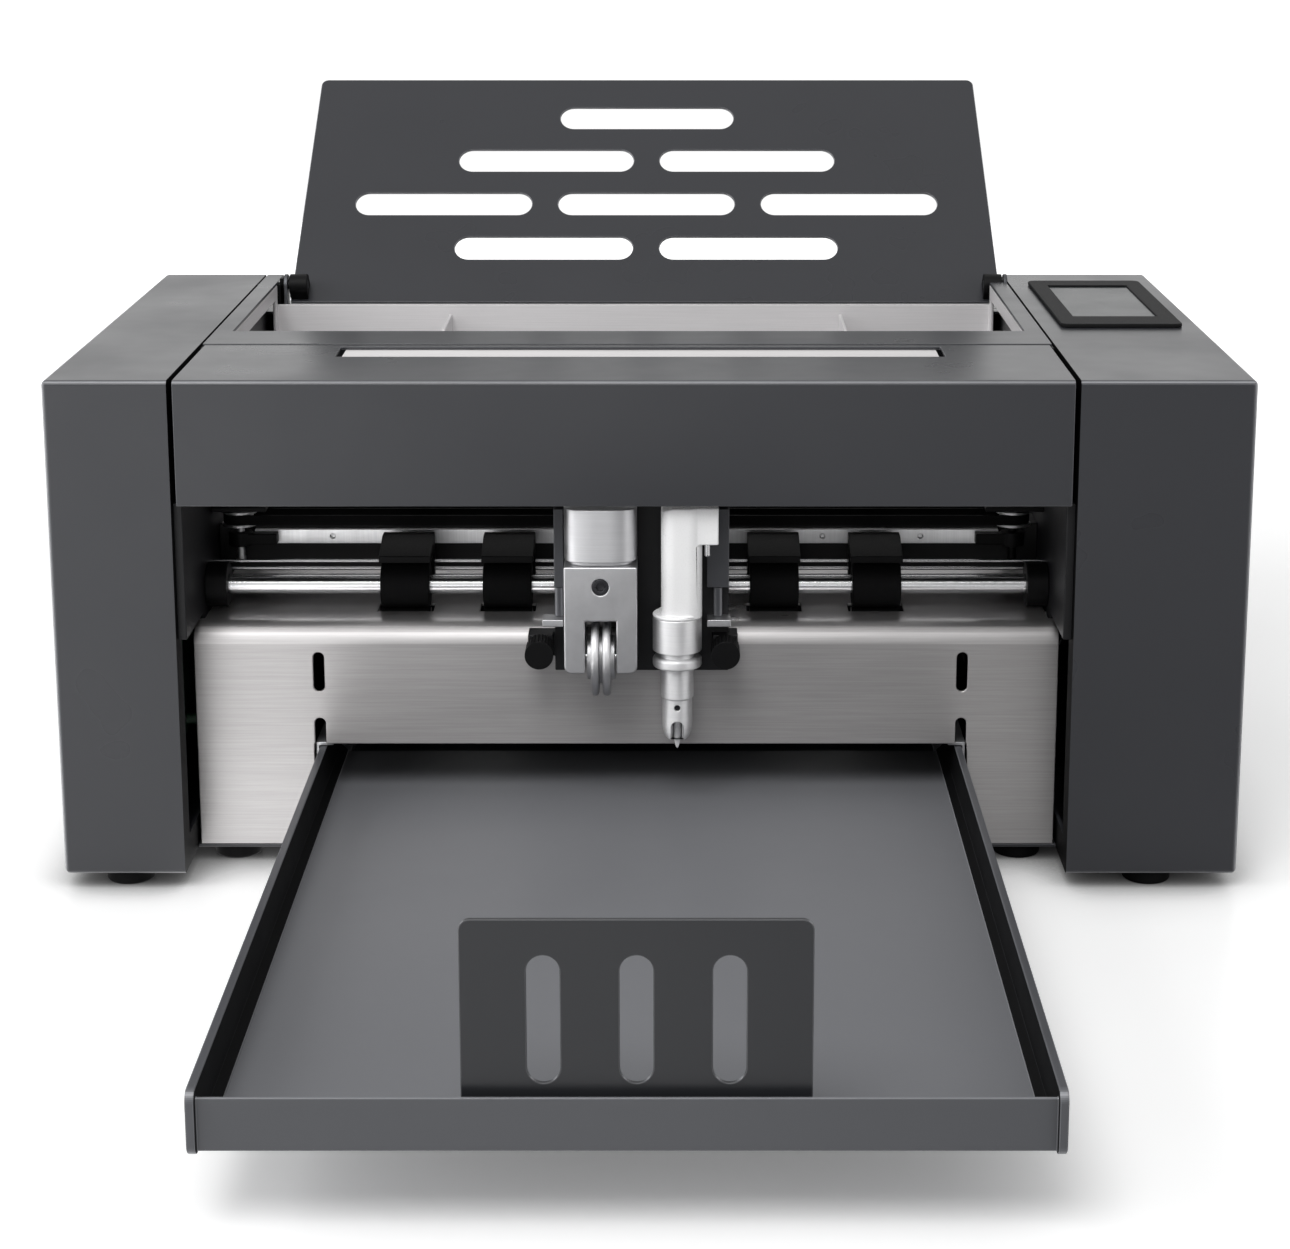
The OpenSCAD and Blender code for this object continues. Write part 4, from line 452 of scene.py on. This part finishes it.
class CutterStage(bpy.types.PropertyGroup):
    """Floor, light and camera."""

    key_power: bpy.props.FloatProperty(
        name="Key lamp", description="Power of the soft lamp above the front", default=36.0, unit="POWER")
    left_power: bpy.props.FloatProperty(
        name="Left lamp", description="Power of the soft lamp at the left side", default=26.0, unit="POWER")
    right_power: bpy.props.FloatProperty(
        name="Right lamp", description="Power of the soft lamp at the front right", default=11.0, unit="POWER")
    room: bpy.props.FloatProperty(
        name="Room light", description="Strength of the even light from all round", default=0.3)
    floor: bpy.props.FloatVectorProperty(
        name="Floor", description="Colour of the floor", default=linear("#f6f6f6"), size=4, subtype="COLOR")
    backdrop: bpy.props.FloatProperty(
        name="Backdrop", description="Distance of the backdrop behind the middle", default=2.8, unit="LENGTH")
    backdrop_glow: bpy.props.FloatProperty(
        name="Backdrop glow", description="Light that the backdrop gives to matt surfaces", default=0.05)
    floor_glow: bpy.props.FloatProperty(
        name="Floor glow", description="Light added to the floor for the eye only", default=0.4)
    mirror_glow: bpy.props.FloatProperty(
        name="Mirror glow", description="Light added to the left of the floor for gloss only", default=0.6)
    mirror_shade: bpy.props.FloatProperty(
        name="Mirror shade", description="How far the right of the floor darkens for gloss only", default=0.8)
    lamp_size: bpy.props.FloatProperty(
        name="Lamp size", description="Side of each square lamp", default=1.4, unit="LENGTH")
    camera: bpy.props.FloatVectorProperty(
        name="Camera", description="Place of the camera, from the front of the covers",
        default=(0.015, -1.4889, 0.5767), size=3, subtype="TRANSLATION", unit="LENGTH")
    pitch: bpy.props.FloatProperty(
        name="Pitch", description="How far the camera looks down", default=math.radians(12.68), subtype="ANGLE")
    shift: bpy.props.FloatVectorProperty(
        name="Shift", description="Sideways and upright shift of the lens", default=(-0.025, -0.12), size=2)
    lens: bpy.props.FloatProperty(
        name="Lens", description="Focal length of the camera in millimetres", default=78.14, subtype="DISTANCE_CAMERA")


# Pieces

class CUTTER_OT_covers(bpy.types.Operator):
    """Folded side covers, rounded outside and open towards the frames"""

    bl_idname = "cutter.covers"
    bl_label = "Side Covers"

    def execute(self, context):
        sizes = context.scene.cutter_sizes
        for node, side in (("left_side_cover", -1), ("right_side_cover", 1)):
            low, high, middle, size = spans(node)
            inner_x = high.x if side < 0 else low.x
            bm = bmesh.new()
            bmesh.ops.create_cube(bm, size=1)
            bmesh.ops.scale(bm, vec=size, verts=bm.verts)
            bmesh.ops.translate(bm, vec=middle, verts=bm.verts)
            outer = [e for e in bm.edges if not all(abs(v.co.x - inner_x) < 1e-6 for v in e.verts)]
            face = next(f for f in bm.faces if abs(f.calc_center_median().x - inner_x) < 1e-6)
            bmesh.ops.inset_region(bm, faces=[face], thickness=sizes.cover_lip, use_even_offset=True)
            depth = size.x - 2 * sizes.sheet
            grow = [(s - 2 * sizes.sheet) / (s - 2 * sizes.cover_lip) for s in (size.y, size.z)]
            for push, wider in ((sizes.sheet, False), (0, True), (depth, False)):
                made = bmesh.ops.extrude_face_region(bm, geom=[face])["geom"]
                bmesh.ops.delete(bm, geom=[face], context="FACES_ONLY")
                face = next(g for g in made if isinstance(g, bmesh.types.BMFace))
                verts = [g for g in made if isinstance(g, bmesh.types.BMVert)]
                bmesh.ops.translate(bm, verts=verts, vec=(side * push, 0, 0))
                if wider:
                    bmesh.ops.scale(bm, verts=verts, vec=(1, *grow), space=Matrix.Translation(-middle))
            bmesh.ops.bevel(bm, geom=outer, offset=sizes.cover_edge, offset_type="OFFSET", segments=5,
                            profile=0.5, affect="EDGES", clamp_overlap=False, material=-1)
            bmesh.ops.recalc_face_normals(bm, faces=bm.faces)
            cover = place(bm, node + "_dressed", COAT, node)
            # The inner faces are drawn in the dark coat as painted shade
            recolour(cover, SHADE_COAT, lambda at, normal: side * normal.x < -0.7)
        return {"FINISHED"}


class CUTTER_OT_hood(bpy.types.Operator):
    """Hood over the mechanism, with its brushed strip"""

    bl_idname = "cutter.hood"
    bl_label = "Hood"

    def execute(self, context):
        dress("front_hood", COAT, 0.5)
        strip = cad_copy("hood_inlay_strip")
        middle, size = spans("hood_inlay_strip")[2:]
        shorter = (size.x - 2 * context.scene.cutter_sizes.strip_gap) / size.x
        bmesh.ops.scale(strip, vec=(shorter, 1, 1), verts=strip.verts, space=Matrix.Translation(-middle))
        place(soften(strip, 0.3 * MM), "hood_inlay_strip_dressed", STRIP, "hood_inlay_strip")
        return {"FINISHED"}


class CUTTER_OT_base(bpy.types.Operator):
    """Base pan, side frames, rear panel and tray runners"""

    bl_idname = "cutter.base"
    bl_label = "Base and Frames"

    def execute(self, context):
        dress("base_pan", COAT, 0.5)
        dress("left_side_frame", BLACK_COAT, 0.6)
        dress("right_side_frame", BLACK_COAT, 0.6)
        dress("rear_panel", COAT, 0.5)
        dress("tray_runners", ZINC, 0.4)
        return {"FINISHED"}


class CUTTER_OT_trough(bpy.types.Operator):
    """Feed trough: its rim, its brushed chute and the two paper guides"""

    bl_idname = "cutter.trough"
    bl_label = "Feed Trough"

    def execute(self, context):
        rim = cad_copy("trough_rim")
        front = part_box("trough_rim")[0].y
        edge = [v for v in rim.verts if v.co.y < front + 0.1 * MM]
        bmesh.ops.translate(rim, verts=edge, vec=(0, context.scene.cutter_sizes.seam, 0))
        place(soften(rim, 0.5 * MM), "trough_rim_dressed", COAT, "trough_rim")
        dress("feed_chute", CHUTE, 0.4)
        dress("left_paper_guide", CHUTE, 0.4)
        dress("right_paper_guide", CHUTE, 0.4)
        return {"FINISHED"}


class CUTTER_OT_rear_tray(bpy.types.Operator):
    """Slotted rear tray on its hinges"""

    bl_idname = "cutter.rear_tray"
    bl_label = "Rear Tray"

    def execute(self, context):
        dress("rear_tray", COAT, 0.5)
        dress("rear_tray_knuckles", BLACK, 0.8, 3)
        dress("hinge_brackets", DARK_ZINC, 0.5, 2)
        self.end_block()
        return {"FINISHED"}

    def end_block(self):
        """Stepped block beside the left ear, from the shelf up past the rim."""
        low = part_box("hinge_brackets")[0]
        rim_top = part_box("trough_rim")[1].z
        depth, gap, pin_y = 11.5 * MM, 0.3 * MM, FRONT_Y + 355.5 * MM
        foot, head = (7.0 * MM, rim_top - 2.2 * MM), (2.3 * MM, rim_top + 2 * MM)
        parts = []
        for wide, top in (foot, head):
            bm = bmesh.new()
            bmesh.ops.create_cube(bm, size=1)
            bmesh.ops.scale(bm, verts=bm.verts, vec=(wide, depth, top - low.z))
            bmesh.ops.translate(bm, verts=bm.verts, vec=(low.x - gap - wide / 2, pin_y, (top + low.z) / 2))
            parts.append(soften(bm, 0.5 * MM, 3))
        place(join(*parts), "hinge_end_block", BLACK, body="chassis")


class CUTTER_OT_apron(bpy.types.Operator):
    """Brushed apron that bends into the platen"""

    bl_idname = "cutter.apron"
    bl_label = "Apron"

    def execute(self, context):
        apron = dress("front_apron", STAINLESS, 0.7)
        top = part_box("front_apron")[1].z
        bend_foot, bend_end, crown, shaded_slot_edge = [top - drop * MM for drop in (14, 5.5, 4, 2)]
        # The bend is drawn in a paler stainless as a painted highlight
        recolour(apron, BEND_HIGHLIGHT, lambda at, normal: bend_foot < at.z < bend_end and 0.03 < normal.z < 0.6)
        recolour(apron, PLATEN, lambda at, normal: at.z > crown and normal.z > 0.75)
        # The back-facing bevels at the slot edges are drawn black as painted shade
        recolour(apron, BLACK, lambda at, normal: at.z > shaded_slot_edge and normal.y > 0.25)
        return {"FINISHED"}


class CUTTER_OT_out_tray(bpy.types.Operator):
    """Out tray and the stop plate that folds down onto its floor"""

    bl_idname = "cutter.out_tray"
    bl_label = "Out Tray"

    def execute(self, context):
        # The floor of the tray is drawn in a lit copy of the charcoal coat, its side faces in a shaded copy, and its
        # lip and wall tops in a half lit copy: painted light and shade
        tray = dress("out_tray", LIT_COAT, 0.6)
        low, high, middle, size = spans("out_tray")
        edge_x, edge_z = size.x / 2 - 5 * MM, high.z - MM
        recolour(tray, SHADE_COAT, lambda at, normal: abs(normal.x) > 0.7)
        recolour(tray, HALF_LIT_COAT, lambda at, normal: normal.y < -0.7 or (
            at.z > edge_z and normal.z > 0.3 and abs(at.x - middle.x) > edge_x))
        self.fillets(middle, size, low.z + 2 * context.scene.cutter_sizes.sheet)
        dress("stop_plate", DEEP_COAT, 0.5)
        return {"FINISHED"}

    def fillets(self, middle, size, floor):
        """Sloped fillets along the foot of both walls, dark as painted shade, each with a pale toe as a painted
        highlight.
        """
        wall, wide, high = 4 * MM, 4.2 * MM, 5 * MM
        sink, short, toe, fall = 0.1 * MM, 5 * MM, 1.2 * MM, 0.8
        parts = []
        for side in (-1, 1):
            bm = bmesh.new()
            bmesh.ops.create_cube(bm, size=1)
            inner = [v for v in bm.verts if side * v.co.x < 0 and v.co.z > 0]
            bmesh.ops.translate(bm, verts=inner, vec=(0, 0, -fall))
            bmesh.ops.scale(bm, verts=bm.verts, vec=(wide, size.y - short, high))
            bmesh.ops.translate(bm, verts=bm.verts, vec=(
                middle.x + side * (size.x / 2 - wall - wide / 2 + sink), middle.y + MM, floor + high / 2 - sink))
            parts.append(soften(bm, 0.3 * MM))
        fillets = place(join(*parts), "tray_wall_fillets", SHADE_COAT, body="sheet_tray")
        recolour(fillets, LIT_COAT, lambda at, normal: at.z < floor + toe and abs(normal.x) > 0.5)


class CUTTER_OT_feed(bpy.types.Operator):
    """Feed shaft with its rubber rollers, bearings, clips and guide rods, and the rollers below and behind"""

    bl_idname = "cutter.feed"
    bl_label = "Feed Rollers"

    def execute(self, context):
        dress("feed_shaft", CHROME, 0.5)
        dress("feed_rollers", RUBBER, 0.8, 3)
        self.bearings()
        dress("roller_clips", BLACK, 0.5)
        self.rods()
        grit = dress("grit_shaft", TURNED, 0.4)
        # The outer face of the grit shaft is drawn in black rubber as painted shade, where it shows through the platen
        # slot
        middle, size = spans("grit_shaft")[2:]
        recolour(grit, RUBBER, lambda at, normal: (at.yz - middle.yz).length > size.y / 2 - 0.5 * MM)
        dress("pickup_roller", RUBBER, 0.8, 3)
        return {"FINISHED"}

    def bearings(self):
        """Bearings cut short at their inner ends, so that more of the shaft shows."""
        cut, reach = 8.5 * MM, 0.1 * MM
        bm = cad_copy("feed_bearings")
        middle = spans("feed_bearings")[2]
        for side in (-1, 1):
            away = [(side * (v.co.x - middle.x), v) for v in bm.verts]
            inner = min(d for d, v in away if d > 0)
            bmesh.ops.translate(bm, verts=[v for d, v in away if abs(d - inner) < reach], vec=(side * cut, 0, 0))
        place(soften(bm, 0.8 * MM, 3), "feed_bearings_dressed", BLACK, "feed_bearings")

    def rods(self):
        """Guide rods, with the three at the front slimmer than their solids."""
        slim, front_below = 0.6, 175 * MM
        bm = cad_copy("guide_rods")
        front = [v for v in bm.verts if v.co.z < front_below]
        near, far = min(v.co.y for v in front), max(v.co.y for v in front)
        low, high = min(v.co.z for v in front), max(v.co.z for v in front)
        axis_y, radius = (near + far) / 2, (far - near) / 2
        for axis_z in (low + radius, (low + high) / 2, high - radius):
            around = [v for v in front if abs(v.co.z - axis_z) < 1.1 * radius]
            bmesh.ops.scale(bm, verts=around, vec=(1, slim, slim),
                            space=Matrix.Translation((0, -axis_y, -axis_z)))
        place(soften(bm, 0.2 * MM), "guide_rods_dressed", CHROME, "guide_rods")


class CUTTER_OT_drive(bpy.types.Operator):
    """Beam, rail, belts, pulleys and motors"""

    bl_idname = "cutter.drive"
    bl_label = "Carriage Drive"

    def execute(self, context):
        dress("carriage_beam", BLACK_COAT, 0.6)
        dress("guide_rail", RAIL, 0.3)
        dress("belt_brackets", BLACK, 0.5)
        dress("carriage_belt", RUBBER, 0.2)
        dress("feed_belt", RUBBER, 0.2)
        for node in ("drive_pulley", "idler_pulley", "feed_pulley", "motor_pulley"):
            dress(node, TURNED, 0.3)
        dress("carriage_motor", GREY_COAT, 0.6)
        dress("feed_motor", BLACK, 0.6)
        return {"FINISHED"}


class CUTTER_OT_carriage(bpy.types.Operator):
    """Carriage with its lift cylinders, clamp brackets and knurled knobs"""

    bl_idname = "cutter.carriage"
    bl_label = "Carriage"

    def execute(self, context):
        dress("carriage_body", BLACK_COAT, 0.6)
        dress("lift_cylinders", GREY_COAT, 0.5)
        dress("clamp_brackets", SATIN, 0.4)
        dress("left_clamp_knob", BLACK, 0.25)
        dress("right_clamp_knob", BLACK, 0.25)
        return {"FINISHED"}


class CUTTER_OT_crease_tool(bpy.types.Operator):
    """Crease tool: crowned cap, milled block, socket screw, axle and twin wheel"""

    bl_idname = "cutter.crease_tool"
    bl_label = "Crease Tool"

    def execute(self, context):
        self.cap(context.scene.cutter_sizes)
        dress("crease_block", SATIN, 0.9, 2)
        dress("crease_screw", OXIDE, 0.3)
        dress("crease_axle", CHROME, 0.4)
        dress("crease_wheel", WHEEL, 0.5, 3)
        return {"FINISHED"}

    def cap(self, sizes):
        """Cap with a crowned front over a narrower neck."""
        low, _, middle, size = spans("crease_cap")
        squareness = 0.62
        bm = bmesh.new()
        ring = bmesh.ops.create_circle(bm, cap_ends=True, segments=128, radius=1)["verts"]
        half = [size.x / 2 - sizes.neck_in, size.y / 2 - sizes.neck_in]
        for vert in ring:
            crown = [math.copysign(abs(c) ** squareness, c) for c in vert.co.xy]
            vert.co = (middle.x + half[0] * crown[0], middle.y + half[1] * crown[1], low.z)
        face = next(iter(bm.faces))
        wider = (size.x / 2 / half[0], size.y / 2 / half[1], 1)
        for rise, grow in ((sizes.neck, None), (0, wider), (size.z - sizes.neck, None)):
            made = bmesh.ops.extrude_face_region(bm, geom=[face])["geom"]
            if face.calc_center_median().z > low.z + 1e-6:
                bmesh.ops.delete(bm, geom=[face], context="FACES_ONLY")
            face = next(g for g in made if isinstance(g, bmesh.types.BMFace))
            verts = [g for g in made if isinstance(g, bmesh.types.BMVert)]
            bmesh.ops.translate(bm, verts=verts, vec=(0, 0, rise))
            if grow:
                bmesh.ops.scale(bm, verts=verts, vec=grow, space=Matrix.Translation(-middle))
        bmesh.ops.recalc_face_normals(bm, faces=bm.faces)
        place(soften(bm, 0.8 * MM, 3), "crease_cap_dressed", CAP, "crease_cap")


class CUTTER_OT_blade_tool(bpy.types.Operator):
    """Blade tool: white head, turned sleeve, barrel and blade"""

    bl_idname = "cutter.blade_tool"
    bl_label = "Blade Tool"

    def execute(self, context):
        head = dress("blade_head", ABS, 0.9, 3)
        pin_x, pin_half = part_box("blade_head")[1].x - 6.2 * MM, 2 * MM
        pin_low, pin_high = 180 * MM, 196.6 * MM
        recolour(head, CHROME, lambda at, normal: abs(at.x - pin_x) < pin_half and pin_low < at.z < pin_high)
        dress("blade_sleeve", TURNED, 0.6, 3)
        dress("blade_barrel", TURNED, 0.4, 2)
        self.leaf()
        self.set_screw()
        return {"FINISHED"}

    def leaf(self):
        """Blade with a round shank and a flattened leaf point."""
        low, _, middle, size = spans("blade")
        flat, leaf_top, length = 0.35, low.z + 10.5 * MM, size.z / MM
        profile = [(0, 0), (0.7, 0.9), (1.2, 2.4), (1.6, 4.8), (1.85, 7.5), (1.9, 10), (1.9, 14), (2.45, 15.5),
                   (2.45, length), (0, length)]
        bm = turned(profile, "Z", (middle.x, middle.y, low.z), 48)
        point = [v for v in bm.verts if v.co.z < leaf_top]
        bmesh.ops.scale(bm, verts=point, vec=(1, flat, 1), space=Matrix.Translation(-middle))
        place(bm, "blade_dressed", TURNED, "blade")

    def set_screw(self):
        """Small dark screw with a socket, in the front of the nose."""
        low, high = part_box("blade_barrel")
        spot = ((low.x + high.x) / 2, FRONT_Y, 103 * MM)
        profile = [(0, 10.6), (0.8, 10.6), (0.8, 9.5), (1.3, 9.5), (1.55, 9.8), (1.55, 11.5), (0, 11.5)]
        place(turned(profile, "Y", spot, 32), "nose_set_screw", OXIDE, body="blade_tool")


class CUTTER_OT_screen(bpy.types.Operator):
    """Screen on the right cover"""

    bl_idname = "cutter.screen"
    bl_label = "Screen"

    def execute(self, context):
        dress("screen_bezel", BEZEL, 0.7, 3)
        dress("screen_glass", GLASS, 0.2)
        return {"FINISHED"}


class CUTTER_OT_feet(bpy.types.Operator):
    """Rubber feet"""

    bl_idname = "cutter.feet"
    bl_label = "Feet"

    def execute(self, context):
        dress("feet", RUBBER, 0.5)
        return {"FINISHED"}


class CUTTER_OT_back(bpy.types.Operator):
    """Socket panel, rocker switch and screws on the back"""

    bl_idname = "cutter.back"
    bl_label = "Back"

    def execute(self, context):
        dress("rear_socket_panel", BLACK, 0.4)
        dress("power_rocker", BLACK, 0.5)
        dress("cover_screws", ZINC, 0.3)
        return {"FINISHED"}


class CUTTER_OT_inside(bpy.types.Operator):
    """Main board and power supply under the covers"""

    bl_idname = "cutter.inside"
    bl_label = "Inside"

    def execute(self, context):
        dress("main_board", BOARD, 0.15)
        dress("power_supply", ZINC, 0.5)
        return {"FINISHED"}


class CUTTER_OT_stage(bpy.types.Operator):
    """Pale floor, soft lamps, white surroundings and the camera"""

    bl_idname = "cutter.stage"
    bl_label = "Stage"

    def execute(self, context):
        stage = context.scene.cutter_stage
        self.floor(stage)
        self.backdrop(stage)
        self.flag()
        self.surroundings(stage)
        self.lamps(context.scene, stage)
        self.camera(context.scene, stage)
        context.scene.view_settings.view_transform = "Standard"
        return {"FINISHED"}

    def lamps(self, scene, stage):
        """Soft square lamps that face the middle of the object."""
        aim = Vector((0, 0, 0.2))
        for name, power, spot in (
                ("Key lamp", stage.key_power, (-0.5, -1.7, 2.3)),
                ("Left lamp", stage.left_power, (-2.2, -0.8, 1.2)),
                ("Right lamp", stage.right_power, (1.9, -1.6, 1.0))):
            lamp = bpy.data.lights.new(name, "AREA")
            lamp.energy, lamp.size, lamp.shape = power, stage.lamp_size, "SQUARE"
            holder = bpy.data.objects.new(name, lamp)
            holder.location = spot
            holder.visible_camera = False
            holder.rotation_euler = (aim - Vector(spot)).to_track_quat("-Z", "Y").to_euler()
            scene.collection.objects.link(holder)

    def camera(self, scene, stage):
        """Camera in front of the covers, tipped down."""
        lens = bpy.data.cameras.new("Front camera")
        lens.lens, lens.sensor_width = stage.lens, 36.0
        lens.shift_x, lens.shift_y = stage.shift
        camera = bpy.data.objects.new("Front camera", lens)
        camera.location = Vector((0, FRONT_Y, 0)) + Vector(stage.camera)
        camera.rotation_euler = (math.pi / 2 - stage.pitch, 0, 0)
        scene.collection.objects.link(camera)
        scene.camera = camera

    def floor(self, stage):
        """A satin white floor up to the backdrop."""
        bm = bmesh.new()
        bmesh.ops.create_grid(bm, x_segments=1, y_segments=1, size=HALF_STAGE)
        bmesh.ops.translate(bm, verts=bm.verts, vec=(0, stage.backdrop - HALF_STAGE, 0))
        material, tree, shader, spot = start_material("Studio floor, satin white", Roughness=0.3, IOR=1.3)
        cloud = add(tree, "ShaderNodeMapRange", {"Value": grain(tree, spot, 400), **MIDDLE})
        shade = add(tree, "ShaderNodeMix", {0: cloud.outputs[0], 6: list(stage.floor), 7: linear("#fafafa")},
                    shader.inputs["Emission Color"], 2, data_type="RGBA")
        gloss = add(tree, "ShaderNodeLightPath").outputs["Is Glossy Ray"]
        across = add(tree, "ShaderNodeSeparateXYZ", {0: spot}).outputs
        self.floor_colour(tree, shader, shade.outputs[2], gloss, across["X"], stage)
        self.floor_glow(tree, shader, spot, gloss, across, stage)
        self.stand(bm, "Studio floor", material)

    def floor_colour(self, tree, shader, shade, gloss, side, stage):
        """Paints a contact shadow on the floor under the object, and paints shade into the right of the floor for
        gloss only.
        """
        right = add(tree, "ShaderNodeMapRange", {"Value": side, "From Max": 0.25, "To Max": stage.mirror_shade})
        reflection_shade = add(tree, "ShaderNodeMath", {0: gloss, 1: right.outputs[0]}, operation="MULTIPLY")
        base = add(tree, "ShaderNodeMix", {0: reflection_shade.outputs[0], 6: shade, 7: linear("#303030")}, data_type="RGBA")
        close = add(tree, "ShaderNodeAmbientOcclusion", {"Distance": 30 * MM}, samples=8)
        clear = add(tree, "ShaderNodeMapRange", {"Value": close.outputs["AO"], "From Min": 0.3, "From Max": 0.95})
        add(tree, "ShaderNodeMix", {0: clear.outputs[0], 6: linear("#3c3c3c"), 7: base.outputs[2]},
            shader.inputs["Base Color"], 2, data_type="RGBA")

    def floor_glow(self, tree, shader, spot, gloss, across, stage):
        """Brightens the floor for the eye where nothing stands close, and at the left for gloss only."""
        away = add(tree, "ShaderNodeVectorMath", {0: spot}, operation="LENGTH")
        far = add(tree, "ShaderNodeMapRange", {
            "Value": away.outputs["Value"], "From Min": 0.8, "From Max": 2.2}).outputs[0]
        near = add(tree, "ShaderNodeAmbientOcclusion", {"Distance": 60 * MM}, samples=8)
        clear = add(tree, "ShaderNodeMath", {0: near.outputs["AO"], 1: far}, operation="MAXIMUM")
        level = add(tree, "ShaderNodeMapRange", {"Value": far, "To Min": stage.floor_glow, "To Max": 1.0})
        lift = add(tree, "ShaderNodeMath", {0: level.outputs[0], 1: clear.outputs[0]}, operation="MULTIPLY")
        left = add(tree, "ShaderNodeMapRange", {
            "Value": across["X"], "From Min": -0.3, "From Max": 0.2, "To Min": stage.mirror_glow, "To Max": 0.0})
        foot = add(tree, "ShaderNodeMapRange", {
            "Value": across["Y"], "From Min": -0.35, "From Max": -0.05, "To Min": 0.15, "To Max": 2.7})
        bay = add(tree, "ShaderNodeMapRange", {
            "Value": across["X"], "From Min": -0.29, "From Max": -0.25, "To Min": 1.0, "To Max": foot.outputs[0]})
        strong = add(tree, "ShaderNodeMath", {0: left.outputs[0], 1: bay.outputs[0]}, operation="MULTIPLY")
        sheen = add(tree, "ShaderNodeMath", {0: gloss, 1: strong.outputs[0]}, operation="MULTIPLY")
        add(tree, "ShaderNodeMath", {0: lift.outputs[0], 1: seen(tree), 2: sheen.outputs[0]},
            shader.inputs["Emission Strength"], operation="MULTIPLY_ADD")

    def backdrop(self, stage):
        """Paper behind the object, white to the eye and dim to matt surfaces."""
        bm = bmesh.new()
        bmesh.ops.create_grid(bm, x_segments=1, y_segments=1, size=HALF_STAGE)
        bmesh.ops.rotate(bm, verts=bm.verts, matrix=Matrix.Rotation(math.pi / 2, 3, "X"))
        bmesh.ops.translate(bm, verts=bm.verts, vec=(0, stage.backdrop, HALF_STAGE / 2))
        material, tree, shader, spot = start_material(
            "Studio backdrop, lit paper", Emission_Color=(1, 1, 1, 1), Roughness=0.9)
        cloud = add(tree, "ShaderNodeMapRange", {"Value": grain(tree, spot, 900), **MIDDLE})
        add(tree, "ShaderNodeMix", {0: cloud.outputs[0], 6: linear("#3a3a3a"), 7: linear("#404040")},
            shader.inputs["Base Color"], 2, data_type="RGBA")
        add(tree, "ShaderNodeMapRange", {"Value": seen(tree), "To Min": stage.backdrop_glow, "To Max": 1.0},
            shader.inputs["Emission Strength"])
        self.stand(bm, "Studio backdrop", material)

    def flag(self):
        """A black cloth off camera, that shades the right side."""
        bm = bmesh.new()
        half = 0.8
        bmesh.ops.create_grid(bm, x_segments=1, y_segments=1, size=half)
        bmesh.ops.rotate(bm, verts=bm.verts, matrix=Matrix.Rotation(math.pi / 2, 3, "X"))
        bmesh.ops.translate(bm, verts=bm.verts, vec=(1.2, -2.2, half))
        material, tree, shader, spot = start_material("Studio flag, black cloth", Roughness=0.95, IOR=1.1)
        weave = add(tree, "ShaderNodeMapRange", {"Value": grain(tree, spot, 3), **MIDDLE})
        add(tree, "ShaderNodeMix", {0: weave.outputs[0], 6: linear("#080808"), 7: linear("#0e0e0e")},
            shader.inputs["Base Color"], 2, data_type="RGBA")
        self.stand(bm, "Studio flag", material).visible_camera = False

    def stand(self, bm, name, material):
        """Puts a part of the stage into the scene."""
        mesh = bpy.data.meshes.new(name)
        bm.to_mesh(mesh)
        bm.free()
        mesh.materials.append(material)
        piece = bpy.data.objects.new(name, mesh)
        bpy.context.scene.collection.objects.link(piece)
        return piece

    def surroundings(self, stage):
        """White to the eye, and plain soft light on the pieces."""
        world = bpy.data.worlds.new("Studio surroundings")
        world.use_nodes = True
        tree = world.node_tree
        tree.nodes.clear()
        level = add(tree, "ShaderNodeMapRange", {"Value": seen(tree), "To Min": stage.room, "To Max": 1.0})
        output = add(tree, "ShaderNodeOutputWorld")
        add(tree, "ShaderNodeBackground", {"Color": (1, 1, 1, 1), "Strength": level.outputs[0]},
            output.inputs["Surface"])
        bpy.context.scene.world = world


class CUTTER_PT_panel(bpy.types.Panel):
    """Lists the pieces in the sidebar"""

    bl_idname = "CUTTER_PT_panel"
    bl_label = "Sticker Cutter"
    bl_space_type = "VIEW_3D"
    bl_region_type = "UI"
    bl_category = "Cutter"

    def draw(self, context):
        for group in (context.scene.cutter_sizes, context.scene.cutter_stage):
            for name in group.bl_rna.properties.keys():
                if name not in ("rna_type", "name"):
                    self.layout.prop(group, name)
        for operator in OPERATORS:
            self.layout.operator(operator.bl_idname)


OPERATORS = (
    CUTTER_OT_covers, CUTTER_OT_hood, CUTTER_OT_base, CUTTER_OT_trough, CUTTER_OT_rear_tray, CUTTER_OT_apron,
    CUTTER_OT_out_tray, CUTTER_OT_feed, CUTTER_OT_drive, CUTTER_OT_carriage, CUTTER_OT_crease_tool,
    CUTTER_OT_blade_tool, CUTTER_OT_screen, CUTTER_OT_feet, CUTTER_OT_back, CUTTER_OT_inside, CUTTER_OT_stage,
)
CLASSES = (CutterSizes, CutterStage, *OPERATORS, CUTTER_PT_panel)


def register():
    """Adds the classes and the settings of the scene."""
    for cls in CLASSES:
        bpy.utils.register_class(cls)
    bpy.types.Scene.cutter_sizes = bpy.props.PointerProperty(type=CutterSizes)
    bpy.types.Scene.cutter_stage = bpy.props.PointerProperty(type=CutterStage)


def unregister():
    """Removes the settings and the classes."""
    del bpy.types.Scene.cutter_stage
    del bpy.types.Scene.cutter_sizes
    for cls in reversed(CLASSES):
        bpy.utils.unregister_class(cls)


def main():
    """Builds every piece."""
    register()
    for operator in OPERATORS:
        group, name = operator.bl_idname.split(".")
        getattr(getattr(bpy.ops, group), name)()


if __name__ == "__main__":
    main()
